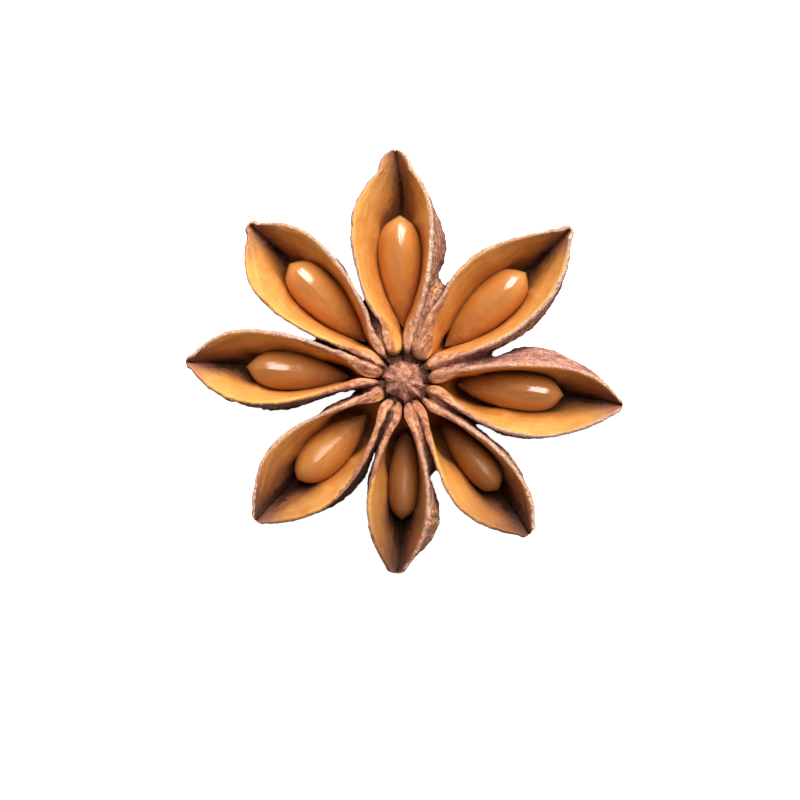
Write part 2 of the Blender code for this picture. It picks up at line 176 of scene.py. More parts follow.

# One husk: direction, tip's distance and beak's length, where the slit opens, rim's rise halfway and at the
# tip, how much the left rim stands over the right, where the crease lies beyond the seed, how wide the brown
# and the black painted shade in that crease are, how hollow the walls are short of the seed (which also sets
# how much painted shade the pit and the seed's inner end get), its two rims, and its seed.
Husk = namedtuple("Husk", "name azimuth tip beak opens crown lift tilt crease dusk night hollow "
                  "left right seed")

HUSKS = [
    Husk("n", 92.2, 17.60, 1.60, 3.0, 0.75, -0.30, -0.40, -0.45, 1.8, 0.45, 0.25,
         Rim(1.25, 3.62, 11.5, 1.40, 2.10, 1.00, 0.40, -0.30, 9.0, 3.0, 1.92, 0.0,
             0.55, 0.45, 0.50, 0.55, 6.5, 0.05),
         Rim(0.60, 2.68, 11.9, 1.30, 2.60, 1.00, 0.00, 1.05, 10.0, 2.6, 2.05, 7.3,
             1.00, 0.10, 0.50, 0.80, 8.5, 0.10),
         Seed(4.2, 12.80, -0.06, 1.72, 0.95, 0.50, 9.0, 1.00, 1.0)),
    Husk("ne", 42.5, 17.20, 0.60, 2.6, 0.65, 0.10, -0.10, -0.20, 1.6, 1.15, 0.30,
         Rim(1.55, 3.50, 9.9, 0.50, 1.55, 1.00, 0.00, -0.30, 9.0, 3.0, 1.80, 0.0,
             0.70, 0.10, 0.50, 1.50, 8.0, 0.45),
         Rim(0.70, 3.12, 10.3, 0.65, 2.60, 1.00, 0.00, 0.50, 9.8, 4.0, 1.78, 0.0,
             0.85, 0.00, 0.40, 0.55, 6.0, 0.10),
         Seed(4.2, 12.60, -0.17, 1.70, 0.80, 0.47, 8.5, 1.00, 1.0)),
    Husk("e", -6.3, 16.75, 0.35, 2.0, 0.70, -0.20, 0.45, 0.35, 2.0, 1.20, 0.70,
         Rim(1.05, 2.45, 11.0, 0.50, 3.00, 1.00, 0.00, 1.30, 9.9, 3.5, 1.75, 0.0,
             0.60, 0.00, 1.00, 0.90, 9.0, 0.85),
         Rim(0.80, 3.20, 9.6, 0.60, 2.05, 1.00, 0.00, 0.15, 8.5, 3.0, 1.70, 0.0,
             0.70, 0.40, 0.50, 0.45, 8.0, 0.35),
         Seed(4.2, 12.35, 0.25, 1.53, 0.72, 0.44, 8.0, 0.52, 0.9)),
    Husk("se", -50.8, 15.05, 0.45, 1.8, 0.50, 0.20, 0.15, 0.40, 2.1, 1.90, 0.95,
         Rim(0.50, 2.42, 10.0, 0.85, 2.70, 1.00, 0.00, 0.28, 9.2, 1.8, 1.88, 0.0,
             0.75, 0.40, 0.20, 0.70, 12.0, 0.80),
         Rim(0.75, 2.88, 9.8, 0.65, 1.95, 1.25, 0.00, -0.30, 9.0, 3.0, 1.60, 0.0,
             0.30, 0.85, 0.10, 0.60, 6.0, 0.90),
         Seed(4.3, 11.10, 0.38, 1.30, 0.75, 0.42, 10.0, 0.30, 0.08)),
    Husk("s", 267.9, 14.65, 0.45, 1.8, 0.45, -0.40, 0.30, 0.20, 1.8, 2.10, 0.90,
         Rim(0.85, 2.30, 9.5, 0.75, 2.20, 1.05, 0.00, 0.84, 10.8, 2.5, 1.60, 10.4,
             0.60, 0.00, 0.00, 0.90, 13.0, 1.00),
         Rim(0.65, 2.46, 9.4, 0.85, 2.00, 1.00, 0.00, 0.05, 6.8, 2.0, 1.60, 0.0,
             0.25, 0.40, 0.30, 0.80, 9.5, 0.95),
         Seed(4.0, 10.70, 0.28, 1.20, 0.55, 0.40, 8.0, 0.26, 0.03)),
    Husk("sw", 223.4, 15.45, 0.40, 1.7, 0.60, 0.25, 0.20, -0.20, 1.9, 1.80, 0.95,
         Rim(0.80, 3.00, 9.8, 0.60, 2.10, 1.00, 0.00, 0.57, 7.8, 2.8, 1.62, 0.0,
             0.15, 1.15, 0.30, 0.80, 12.0, 0.60),
         Rim(1.25, 3.38, 10.4, 0.80, 1.90, 1.15, 0.00, -0.20, 9.0, 3.0, 1.60, 0.0,
             0.70, 0.30, 0.50, 0.80, 9.0, 1.00),
         Seed(3.9, 11.15, -0.12, 1.65, 0.85, 0.56, 11.0, 0.68, 0.30)),
    Husk("w", 175.0, 16.65, 0.45, 2.5, 0.55, -0.10, 0.15, -0.20, 1.7, 1.50, 0.60,
         Rim(0.50, 2.75, 11.3, 0.50, 2.40, 1.25, 0.00, 0.46, 9.0, 2.8, 1.92, 0.0,
             0.15, 0.05, 0.30, 0.60, 8.0, 0.05),
         Rim(1.00, 2.93, 11.4, 0.60, 2.50, 1.00, 0.00, -0.10, 9.0, 3.0, 1.65, 0.0,
             0.70, 0.20, 0.50, 0.90, 11.0, 0.85),
         Seed(4.2, 12.20, 0.00, 1.53, 0.88, 0.48, 7.0, 0.50, 0.7)),
    Husk("nw", 134.6, 16.72, 0.50, 2.6, 0.70, 0.30, -0.05, -0.12, 1.5, 0.95, 0.40,
         Rim(0.60, 3.42, 11.7, 0.65, 2.50, 1.15, 0.00, -0.30, 9.0, 3.0, 1.86, 0.0,
             0.25, 0.60, 0.50, 0.50, 6.5, 0.00),
         Rim(0.70, 2.85, 11.6, 0.60, 2.60, 1.00, 0.35, 0.30, 8.0, 1.6, 2.18, 0.0,
             0.75, 0.25, 0.60, 0.90, 10.0, 0.65),
         Seed(4.2, 12.65, -0.05, 1.68, 0.92, 0.50, 9.5, 0.92, 1.0)),
]

# The valley between each husk and the next, going anticlockwise: its direction by the column, and the
# direction and distance at which the walls part.
Parting = namedtuple("Parting", "near azimuth radius")
PARTINGS = {
    ("e", "ne"): Parting(18.5, 16.7, 6.2),
    ("ne", "n"): Parting(78.5, 65.5, 7.5),
    ("n", "nw"): Parting(123.0, 118.2, 6.3),
    ("nw", "w"): Parting(148.0, 155.5, 6.9),
    ("w", "sw"): Parting(188.5, 194.0, 3.2),
    ("sw", "s"): Parting(248.0, 247.5, 4.8),
    ("s", "se"): Parting(290.0, 289.6, 6.7),
    ("se", "e"): Parting(323.5, 328.2, 5.6),
}


# ---------------------------------------------------------------- curves and noise
def smooth(start, stop, x):
    """Goes from 0 at start to 1 at stop, level at both ends; start may be the greater."""
    t = np.clip((x - start) / (stop - start), 0.0, 1.0)
    return t * t * (3.0 - 2.0 * t)


# Each corner of the noise's lattice gets a direction, picked by stirring its numbers together. The count of
# directions is a power of two, so that a mask picks one.
NOISE_SEED = 11
NOISE_COUNT = 256
NOISE_DIRECTIONS = np.random.default_rng(NOISE_SEED).normal(size=(NOISE_COUNT, 3))
NOISE_DIRECTIONS /= np.linalg.norm(NOISE_DIRECTIONS, axis=1, keepdims=True)
NOISE_PRIMES = (73856093, 19349663, 83492791, 2654435761)
NOISE_GAIN = 1.8
STIR = 13
PICK = 7


def lattice_noise(points, seed):
    """Smooth noise from about -1 to 1 with a lattice step of 1."""
    cell = np.floor(points).astype(np.int64)
    local = points - cell
    blend = local ** 3 * (local * (local * 6.0 - 15.0) + 10.0)
    total = np.zeros(points.shape[:-1])
    for corner in itertools.product((0, 1), repeat=3):
        place = cell + corner
        mixed = seed * NOISE_PRIMES[3]
        for axis in range(3):
            mixed = mixed ^ (place[..., axis] * NOISE_PRIMES[axis])
        mixed = (mixed ^ (mixed >> STIR)) * NOISE_PRIMES[1]
        direction = NOISE_DIRECTIONS[(mixed >> PICK) & (NOISE_COUNT - 1)]
        weight = np.prod(np.where(corner, blend, 1.0 - blend), axis=-1)
        total += weight * np.sum(direction * (local - corner), axis=-1)
    return NOISE_GAIN * total


# One layer of relief: how high it stands, its coarsest features' size (one number or one for each axis), how
# many times it repeats at half the size, the number that sets it apart, the level that counts as flat, and
# whether it has sharp creases.
Relief = namedtuple("Relief", "high size octaves number level creased", defaults=(0.0, False))


def relief(layer, points, number):
    """How far the layer stands out at each point."""
    total = np.zeros(points.shape[:-1])
    scaled = points / np.asarray(layer.size, float)
    for octave in range(layer.octaves):
        noise = lattice_noise(scaled * 2.0 ** octave, number + layer.number + octave)
        total += (np.abs(noise) if layer.creased else noise) * 0.5 ** octave
    return layer.high * ((np.clip(total, 0.0, 1.0) if layer.creased else total) - layer.level)


# ---------------------------------------------------------------- outlines of a husk, as functions of u
def parting_of(husk, side):
    """The parting on the husk's left (+1) or right (-1), its directions as angles from the husk's axis."""
    for (before, after), parting in PARTINGS.items():
        if husk.name == (before if side > 0 else after):
            near = math.radians(side * (parting.near - husk.azimuth) % 360.0)
            far = math.radians(side * (parting.azimuth - husk.azimuth) % 360.0)
            return Parting(near, far, parting.radius)


def rim_of(husk, side):
    return husk.left if side > 0 else husk.right


def bell(x, middle, span):
    """1 in the middle, fading to 0 on both sides over about a span."""
    return np.exp(-(((x - middle) / span) ** 2))


def share_between(start, stop, x):
    """0 at start, 1 at stop and in proportion between them."""
    return np.clip((x - start) / (stop - start), 0.0, 1.0)


def rim_half(husk, side, u):
    """Half-width to the rim's outer edge: swells from the lip, closes to the beak, and ends round."""
    rim = rim_of(husk, side)
    rise = share_between(LIP_AT, rim.at, u) ** rim.swell
    swelling = rim.lip + (rim.wide - rim.lip) * np.sin(0.5 * math.pi * rise)
    swelling = swelling - rim.neck * bell(u, NECK_AT, NECK_SPAN)
    swelling = np.minimum(swelling, sector_limit(husk, side, u))
    beak_from = husk.tip - husk.beak
    closing = rim.blunt + (rim.wide - rim.blunt) * (1.0 - share_between(rim.at, beak_from, u) ** rim.full)
    rounding = np.sqrt(1.0 - share_between(beak_from, husk.tip, u) ** 2)
    return np.maximum(np.where(u < rim.at, swelling, closing * rounding), TIP_HALF)


def along(husk, u):
    """How far along the husk u is: 0 at the column, 1 at the tip."""
    return share_between(HUSK_START, husk.tip, u)


def beyond_seed(husk, u):
    """0 where the seed lies, 1 in the crease beyond it."""
    return smooth(husk.seed.outer - BEYOND_FROM, husk.seed.outer + BEYOND_TO, u)


def rim_height(husk, side, u):
    """Height of the rim: bowed up halfway, rising or drooping to the tip."""
    bow = np.sin(math.pi * along(husk, u))
    height = RIM_AT_COLUMN + husk.crown * bow + husk.lift * along(husk, u) ** 3
    return height + side * 0.5 * husk.tilt * bow


def keel_height(husk, u):
    """Height of the keel: flat on the table near the column, then sweeping up to the beak."""
    beak = RIM_AT_COLUMN + husk.lift - BEAK_DEPTH
    sweep = share_between(FOOT_OUT, husk.tip, u)
    heel = 1.0 - share_between(HUSK_START, FOOT_IN, u)
    return beak * sweep ** KEEL_SWEEP + HEEL_RISE * heel ** 2


def floor_height(husk, u):
    """Height of the cavity's floor, which shelves up to the slit at the column and to the beak."""
    rim = rim_height(husk, 1, u)
    shelf = (rim - SHELF_DEEP) * (1.0 - smooth(SHELF_IN, SHELF_OUT, u))
    thick = FLOOR_THICK + (THIN_FLOOR - FLOOR_THICK) * beyond_seed(husk, u)
    return np.minimum(np.maximum(keel_height(husk, u) + thick, shelf), rim - LEAST_DEEP)


def equator_height(husk, u):
    """Height at which the cavity turns from flaring wall to rounded floor; the seed's axis lies on it."""
    floor = keel_height(husk, u) + FLOOR_THICK
    return floor + EQUATOR * (rim_height(husk, 1, u) - floor)


def axis_shift(husk, u):
    """Sideways shift of the cavity, seed and keel from the husk's axis; beyond the seed, of the crease."""
    shift = husk.seed.off + (husk.crease - husk.seed.off) * beyond_seed(husk, u)
    return shift * smooth(0.0, SHIFT_RUN, along(husk, u)) * (1.0 - along(husk, u) ** SHIFT_LASTS)


def seed_shape(seed, x):
    """Outline of the seed, 0 to 1: narrow inner end, fullest beyond halfway, blunt outer end just pointed."""
    peak = seed.taper / (seed.taper + seed.butt)
    full = (x / peak) ** seed.taper * ((1.0 - x) / (1.0 - peak)) ** seed.butt
    point = seed.point * (1.0 - x)
    return full * point / (full ** POINT_BLEND + point ** POINT_BLEND + TINY) ** (1.0 / POINT_BLEND)


def seed_rise(x):
    """Height of the seed's top and bottom from its axis, 0 to 1: highest nearer the outer end."""
    peak = SEED_RISING_IN / (SEED_RISING_IN + SEED_FALLING_OUT)
    return (x / peak) ** SEED_RISING_IN * ((1.0 - x) / (1.0 - peak)) ** SEED_FALLING_OUT


def opening_half(husk, side, u):
    """Half-width to the rim's inner edge: a slit at the lip, the rim's width less its thickness beyond."""
    thick = RIM_THICK + LIP_THICK * np.exp((LIP_AT - u) / LIP_FADE)
    wide = np.maximum(rim_half(husk, side, u) - thick, SLIT_HALF)
    opened = smooth(husk.opens, husk.opens + OPENING_RUN, u)
    half = SLIT_HALF + (wide - SLIT_HALF) * opened
    narrowing = SLIT_HALF + TIP_SLOPE * (husk.tip - u)
    half = (half ** -TIP_BLEND + narrowing ** -TIP_BLEND) ** (-1.0 / TIP_BLEND)
    return np.minimum(half, rim_half(husk, side, u) - RIM_LEAST)


def cavity_half(husk, side, u):
    """Half-width of the cavity at the seed's axis, measured from the shifted axis."""
    seed = husk.seed
    round_seed = seed.half * seed_shape(seed, share_between(seed.inner, seed.outer, u)) + SEED_HUGGED
    round_seed = round_seed * smooth(seed.inner - SEED_RUN_IN, seed.inner, u)
    round_seed = round_seed * (1.0 - smooth(seed.outer, seed.outer + SEED_RUN_OUT, u))
    hollow = husk.hollow + (WALL_SHARE - husk.hollow) * smooth(HOLLOW_OUT, WALL_SHARE_FROM, u)
    wall = hollow * (opening_half(husk, side, u) - side * axis_shift(husk, u))
    return np.maximum(np.maximum(round_seed, wall), 0.5 * SLIT_HALF)


def skin_half(husk, side, u):
    """Greatest half-width of the outer skin below the rim, without the web to the next husk."""
    rim = rim_of(husk, side)
    swell = rim.bulge * bell(u, rim.bulge_at, rim.bulge_span) if rim.bulge > 0.0 else rim.bulge
    seen = rim_half(husk, side, u) + swell
    wall = cavity_half(husk, side, u) + side * axis_shift(husk, u) + WALL_THICK
    near_tip = smooth(husk.tip - TIP_RUN, husk.tip, u)
    return np.maximum(seen, wall) * (1.0 - near_tip) + rim_half(husk, side, u) * near_tip


def web(husk, side, u):
    """How far the skin spreads towards the next husk, and how deep below the rim that starts."""
    parted = parting_of(husk, side).radius
    reach = WEB_REACH * (1.0 - smooth(parted - WEB_ENDS_IN, parted + WEB_ENDS_OUT, u))
    out = share_between(HUSK_START, parted, u)
    return reach, WEB_AT_COLUMN + (WEB_AT_PARTING - WEB_AT_COLUMN) * out ** WEB_BEND


def sector_limit(husk, side, u):
    """Half-width at which the husk has grown into the next one, along the valley between them."""
    parting = parting_of(husk, side)
    half = u * math.tan(parting.near)
    for _ in range(VALLEY_ROUNDS):
        bent = smooth(VALLEY_BENDS, parting.radius, np.hypot(u, half))
        half = u * np.tan(parting.near + (parting.azimuth - parting.near) * bent)
    return half + GROWN_INTO


# ---------------------------------------------------------------- the husk's section
def outer_side(husk, side, u):
    """Points (v, z) down one outer wall, from the rim's edge to the keel: one row for each u."""
    rim = rim_half(husk, side, u)
    top = rim_height(husk, side, u)
    skin = skin_half(husk, side, u)
    keel = keel_height(husk, u)
    shift = side * axis_shift(husk, u)
    reach, starts = web(husk, side, u)
    belly = keel + BELLY * (top - keel)
    t = np.linspace(0.0, 1.0, CURVE_POINTS)
    depth = (top - belly) * t
    spread = reach * smooth(starts - WEB_SOFT, starts + WEB_SOFT, depth)
    upper = rim + (skin - rim) * np.sin(0.5 * math.pi * t) + spread
    angle = 0.5 * math.pi * t[1:]
    box = BOX_AT_COLUMN + (BOX_OUTSIDE - BOX_AT_COLUMN) * smooth(BOX_FROM, BOX_TO, u)
    lower = shift + (skin + reach - shift) * np.cos(angle) ** box
    v = np.minimum(np.concatenate([upper, lower], axis=1), sector_limit(husk, side, u))
    z = np.concatenate([top - depth, belly - (belly - keel) * np.sin(angle)], axis=1)
    return np.array([side * v, z])


def inner_side(husk, side, u):
    """Points (v, z) down one inner wall, from the rim's edge to the cavity's floor: one row for each u."""
    rim = opening_half(husk, side, u)
    top = rim_height(husk, side, u) - lip_sink(husk, side, u)
    floor = floor_height(husk, u)
    shift = side * axis_shift(husk, u)
    waist = cavity_half(husk, side, u) + shift
    belly = np.maximum(equator_height(husk, u), floor + LEAST_FLARE * (top - floor))
    t = np.linspace(0.0, 1.0, CURVE_POINTS)
    upper = rim + (waist - rim) * (WALL_STRAIGHT * t + (1.0 - WALL_STRAIGHT) * np.sin(0.5 * math.pi * t))
    sharp = 1.0 + VALLEY_SHARP * beyond_seed(husk, u)
    angle = 0.5 * math.pi * t[1:]
    lower = shift + (waist - shift) * np.cos(angle) ** sharp
    v = np.concatenate([upper, lower], axis=1)
    z = np.concatenate([top + (belly - top) * t, belly - (belly - floor) * np.sin(angle) ** sharp], axis=1)
    return np.array([side * v, z])


def lip_sink(husk, side, u):
    """How far the inner edge of a wide lip lies below its crest."""
    return LIP_SLOPE * np.maximum(rim_half(husk, side, u) - opening_half(husk, side, u) - LIP_CREST, 0.0)


def running_total(steps):
    """In each row, 0 and then the steps added up one by one."""
    return np.concatenate([np.zeros((len(steps), 1)), np.cumsum(steps, axis=1)], axis=1)


def whole_wall(one_side, husk, u):
    """A curve from rim to rim for each u, its points evenly spaced; one_side draws it from one rim down."""
    left, right = (one_side(husk, side, u) for side in (1, -1))
    curve = np.concatenate([left, right[..., -2::-1]], axis=-1)
    travelled = running_total(np.hypot(*np.diff(curve, axis=-1)))
    share = np.linspace(0.0, 1.0, WALL_POINTS)
    return np.array([[np.interp(share * s[-1], s, row) for s, row in zip(travelled, rows)] for rows in curve])


def crest(outer_edge, inner_edge):
    """The rim's top from its outer edge to its inner edge, without the edges: highest near the outer edge."""
    angle = np.pi * np.arange(1, CREST_POINTS + 1) / (CREST_POINTS + 1)
    share = 0.5 - 0.5 * np.cos(angle)
    across, drop = inner_edge - outer_edge
    width = np.maximum(np.abs(across), CREST_NARROWEST)
    highest = np.clip(0.5 * LIP_CREST / width, *CREST_PEAK)
    hump = np.sin(np.pi * share ** (np.log(0.5) / np.log(highest)))
    height = drop * smooth(CREST_DROPS_FROM, 1.0, share) + CREST_RISE * np.minimum(width, LIP_CREST) * hump
    return outer_edge + np.array([across * share, height])


def lip_drop(husk, side, u, v):
    """How far the top is rounded down short of the column, where each lip ends in a knob."""
    opening, rim = opening_half(husk, side, u), rim_half(husk, side, u)
    across = np.clip((side * v - opening) / (rim - opening), 0.0, 1.0)
    end = rim_of(husk, side).end + KNOB_ROUND * np.abs(2.0 * across - 1.0) ** KNOB_SHARP
    beyond = np.clip((u - end) / LIP_ROUND, 0.0, 1.0)
    return MOAT_DEPTH * (1.0 - np.sqrt(1.0 - (1.0 - beyond) ** 2))


def husk_grid(husk, u):
    """The husk's surface as rings (v, z), with each point's distance inwards from the rim's outer edge."""
    outer, inner = (whole_wall(one_side, husk, u) for one_side in (outer_side, inner_side))
    left, right = crest(outer[..., :1], inner[..., :1]), crest(outer[..., -1:], inner[..., -1:])
    v, z = np.concatenate([outer, right, inner[..., ::-1], left[..., ::-1]], axis=-1)
    edge = edge_distance(v, z)
    drop = np.where(v > 0.0, lip_drop(husk, 1, u, v), lip_drop(husk, -1, u, v))
    below = rim_height(husk, 1, u) - z
    return v, z - drop * smooth(MOAT_REACH, MOAT_FULL, below), edge


def edge_distance(v, z):
    """Distance along the section from the rim's outer edge: positive across the rim, negative outside."""
    travelled = running_total(np.hypot(np.roll(v, -1, axis=1) - v, np.roll(z, -1, axis=1) - z))
    around = travelled[:, -1:]
    travelled = travelled[:, :-1]
    right = travelled[:, [WALL_POINTS - 1]]
    outside = np.minimum(travelled, right - travelled)
    within = np.minimum(travelled - right, around - travelled)
    return np.where(travelled > right, within, -outside)


def stations(husk):
    """Distances along the husk, one in each row, closer together at the lips and at the tip."""
    t = np.linspace(0.0, 1.0, HUSK_STATIONS)[:, None]
    eased = 0.5 - 0.5 * np.cos(math.pi * t)
    return SHOWN_START + (husk.tip - SHOWN_START) * (EVEN_SHARE * t + (1.0 - EVEN_SHARE) * eased)


# ---------------------------------------------------------------- relief
def surface_normals(points):
    """Outward normals of a grid of rings."""
    lengthwise = np.gradient(points, axis=0)
    around = np.roll(points, -1, axis=1) - np.roll(points, 1, axis=1)
    normals = np.cross(lengthwise, around)
    return normals / np.maximum(np.linalg.norm(normals, axis=-1, keepdims=True), TINY)


def warty(husk, local):
    """1 in the middle of a rim's warty patch, fading to 0 round it."""
    u, v = local[..., 0], local[..., 1]
    found = np.zeros(u.shape)
    for side in (1, -1):
        at = rim_of(husk, side).wart
        if at > 0.0:
            found = np.maximum(found, bell(u, at, WART_SPAN) * smooth(*WARTS_FROM_AXIS, side * v))
    return found


FOLDS = Relief(0.11, (3.2, 1.5, 1.5), 3, 0)
WRINKLES = Relief(0.13, (1.5, 0.6, 0.7), 3, 10, 0.45, True)
WARTS = Relief(0.09, 0.42, 2, 20, 0.15)
LINES = Relief(0.012, (6.0, 0.35, 0.35), 2, 30)
SWELLS = Relief(0.03, (3.0, 2.0, 2.0), 2, 40)
RAGGED = Relief(0.06, (0.6, 0.8, 0.8), 3, 50)
KNOBBLY = Relief(0.08, (0.9, 0.45, 0.45), 3, 60)
LUMPS = Relief(0.26, 0.70, 3, 70, 0.35, True)
DENTS = Relief(0.02, 1.6, 2, 500)
RUGGED = Relief(0.07, 0.45, 3, 900)
GRAINY = Relief(0.05, 0.16, 2, 950)
HUSK_NUMBERS = (7, 100)
HUSKS_APART = 31.7
SEEDS_APART = 9.1
# Distances from the rim's outer edge: where skin gives way to wall, where it turns rough, the ragged middle.
SKIN_ENDS = (0.10, 0.40)
SKIN_ROUGHENS = (0.2, 2.2)
SMOOTHEST = 0.35
RAGGED_AT = 0.15
RAGGED_SPAN = 0.25
KNOBBLY_TO = (3.5, 7.0)


def husk_relief(husk, local, edge):
    """How far each point of a husk stands out: wrinkles and warts outside, faint lengthwise lines inside."""
    place = HUSKS.index(husk)
    number = HUSK_NUMBERS[0] + HUSK_NUMBERS[1] * place
    layers = (FOLDS, WARTS, WRINKLES, LINES, SWELLS, RAGGED, KNOBBLY, LUMPS)
    found = [relief(layer, local + HUSKS_APART * place, number) for layer in layers]
    folds, warts, wrinkles, lines, swells, ragged, knobs, lumps = found
    outside = 1.0 - smooth(*SKIN_ENDS, edge)
    rough = SMOOTHEST + (1.0 - SMOOTHEST) * smooth(*SKIN_ROUGHENS, -edge)
    skin = folds + np.clip(warts, 0.0, WARTS.high) + wrinkles
    knobs = knobs * (1.0 - smooth(*KNOBBLY_TO, local[..., 0])) + lumps * warty(husk, local)
    ragged = ragged * bell(edge, RAGGED_AT, RAGGED_SPAN)
    return outside * (rough * skin + knobs) + (1.0 - outside) * (lines + swells) + ragged


# ---------------------------------------------------------------- making meshes
def turned(husk, u, v, z):
    """Points of a husk in the pod's frame, in metres."""
    turn = math.radians(husk.azimuth)
    x = u * math.cos(turn) - v * math.sin(turn)
    y = u * math.sin(turn) + v * math.cos(turn)
    return np.stack([x, y, np.maximum(z, 0.0)], axis=-1) * MM


def ring_faces(rings, count):
    """Quads between neighbouring rings of count points."""
    ring, i = np.meshgrid(np.arange(rings - 1), np.arange(count), indexing="ij")
    j = (i + 1) % count
    quads = [ring * count + i, (ring + 1) * count + i, (ring + 1) * count + j, ring * count + j]
    return np.stack(quads, axis=-1).reshape(-1, 4).tolist()


def end_faces(first, flip):
    """Closes one end section with strips between its outer and inner points, and a face on each crest."""
    last = first + 2 * (WALL_POINTS + CREST_POINTS)
    inner_end = first + 2 * WALL_POINTS + CREST_POINTS - 1
    faces = [tuple(range(first + WALL_POINTS - 1, first + WALL_POINTS + CREST_POINTS + 1))]
    faces.append((*range(inner_end, last), first))
    for i in range(WALL_POINTS - 1):
        faces.append((first + i, first + i + 1, inner_end - i - 1, inner_end - i))
    return [face[::-1] for face in faces] if flip else faces


def add_piece(name, points, faces, material, values):
    """A smooth mesh object; values are its named per-point numbers or vectors."""
    mesh = bpy.data.meshes.new(name)
    mesh.from_pydata(points.reshape(-1, 3).tolist(), [], faces)
    mesh.polygons.foreach_set("use_smooth", [True] * len(mesh.polygons))
    for label, value in values.items():
        vector = value.ndim == points.ndim
        layer = mesh.attributes.new(label, "FLOAT_VECTOR" if vector else "FLOAT", "POINT")
        layer.data.foreach_set("vector" if vector else "value", value.astype(np.float32).ravel())
    mesh.materials.append(material)
    mesh.update()
    piece = bpy.data.objects.new(name, mesh)
    bpy.context.scene.collection.objects.link(piece)
    return piece


# Painted shade along the crease, a brown dusk and a black night: how far beyond the seed they narrow, how
# wide each is at its narrowest and how much wider by the seed, how sharp their edges are, and how strongly
# each darkens.
GLOOM_RUN = 2.6
DUSK_WIDE = (0.30, 0.50)
NIGHT_WIDE = (0.05, 0.45)
NIGHT_IN_HOLLOW = 0.16
GLOOM_SHARP = 2.5
DUSK_WEIGHT = 0.55
NIGHT_WEIGHT = (0.24, 0.22)
UNDER_SEED = (3.6, 0.6)
UNDER_SEED_WEIGHT = 0.25
LIGHT_AT_TIP = (2.2, 0.2)
LIGHT_AT_TIP_WEIGHT = 0.6
# The pit between the column and the seed, where shade is painted: how strongly it darkens, over what
# distances and depths.
PIT_WEIGHT = 0.32
PIT_RUN = (5.6, 3.4)
PIT_DEPTH = (1.0, 3.0)


def gloom(husk, u, v, depth):
    """How much painted shade the cavity gets, 0 to 1: in the crease beyond the seed, and deep down short of
    the seed.
    """
    near = np.exp(-np.maximum(u - husk.seed.outer, 0.0) / GLOOM_RUN)
    shallow = (1.0 - husk.hollow) * smooth(*LIGHT_AT_TIP, husk.tip - u)
    beyond = smooth(husk.seed.outer - UNDER_SEED[0], husk.seed.outer - UNDER_SEED[1], u)
    strength = UNDER_SEED_WEIGHT + (1.0 - UNDER_SEED_WEIGHT) * beyond
    strength = strength * smooth(LIP_AT, husk.seed.inner, u) * (1.0 - LIGHT_AT_TIP_WEIGHT * shallow)
    off = np.abs(v - axis_shift(husk, u))
    dusk = husk.dusk * (DUSK_WIDE[0] + DUSK_WIDE[1] * near)
    night = husk.night * (NIGHT_WIDE[0] + NIGHT_IN_HOLLOW * husk.hollow + NIGHT_WIDE[1] * near)
    brown, black = (np.exp(-((off / wide) ** GLOOM_SHARP)) for wide in (dusk, night))
    crease = DUSK_WEIGHT * brown + (NIGHT_WEIGHT[0] + NIGHT_WEIGHT[1] * husk.hollow) * black
    pit = PIT_WEIGHT * husk.hollow * smooth(*PIT_RUN, u) * smooth(*PIT_DEPTH, depth)
    return np.maximum(crease * strength, pit)


def valley(husk, u, v):
    """1 where the skin meets the next husk's, fading to 0 away from it."""
    limit = np.where(v > 0.0, sector_limit(husk, 1, u), sector_limit(husk, -1, u))
    return np.exp(-np.maximum(limit - np.abs(v), 0.0) / VALLEY_HALF)


def build_husk(husk, material):
    u = stations(husk)
    v, z, edge = husk_grid(husk, u)
    local = np.stack([np.broadcast_to(u, v.shape), v, z], axis=-1)
    local = local + surface_normals(local) * husk_relief(husk, local, edge)[..., None]
    count = v.shape[1]
    faces = ring_faces(len(u), count) + end_faces(0, False) + end_faces((len(u) - 1) * count, True)
    depth = 0.5 * (rim_height(husk, 1, u) + rim_height(husk, -1, u)) - local[..., 2]
    tipward = np.broadcast_to(husk.tip - u, v.shape)
    on_left = smooth(-SIDES_BLEND, SIDES_BLEND, v - axis_shift(husk, u))
    values = {}
    for name in ("pale", "dark", "rosy", "lap", "lap_to", "brown"):
        left, right = getattr(husk.left, name), getattr(husk.right, name)
        values[name] = right + (left - right) * on_left
    lapped = share_between(LAP_FROM, values.pop("lap_to"), u)
    values["lap"] = values["lap"] * smooth(1.0, 0.0, lapped)
    # Browning and painted shade on the inner walls, growing towards the tip.
    values["brown"] = values["brown"] * smooth(*BROWNING_AND_SHADE_RUN, tipward)
    values["gloom"] = gloom(husk, u, v, depth)
    values["wart"] = warty(husk, local) * smooth(*WARTS_FADE, depth)
    values["valley"] = valley(husk, u, v)
    values.update(local=local, edge=edge, depth=depth, tipward=tipward)
    placed = turned(husk, *np.moveaxis(local, -1, 0))
    piece = add_piece("husk_" + husk.name, placed, faces, material, values)
    return standing_for(piece, "carpel_" + husk.name)


def seed_section():
    """The seed's section on its upper and lower half, -1 to 1, with a fine ridge along the top."""
    angle = 2.0 * math.pi * np.arange(SEED_SIDES) / SEED_SIDES + 0.5 * math.pi
    across, up = np.cos(angle), np.sin(angle)
    roof = np.sqrt(1.0 - np.abs(across) ** ROOF_FULL)
    ridge = SEED_RIDGE * np.exp(-np.abs(across) / RIDGE_WIDTH)
    return across, np.where(up > 0.0, roof + ridge, up)


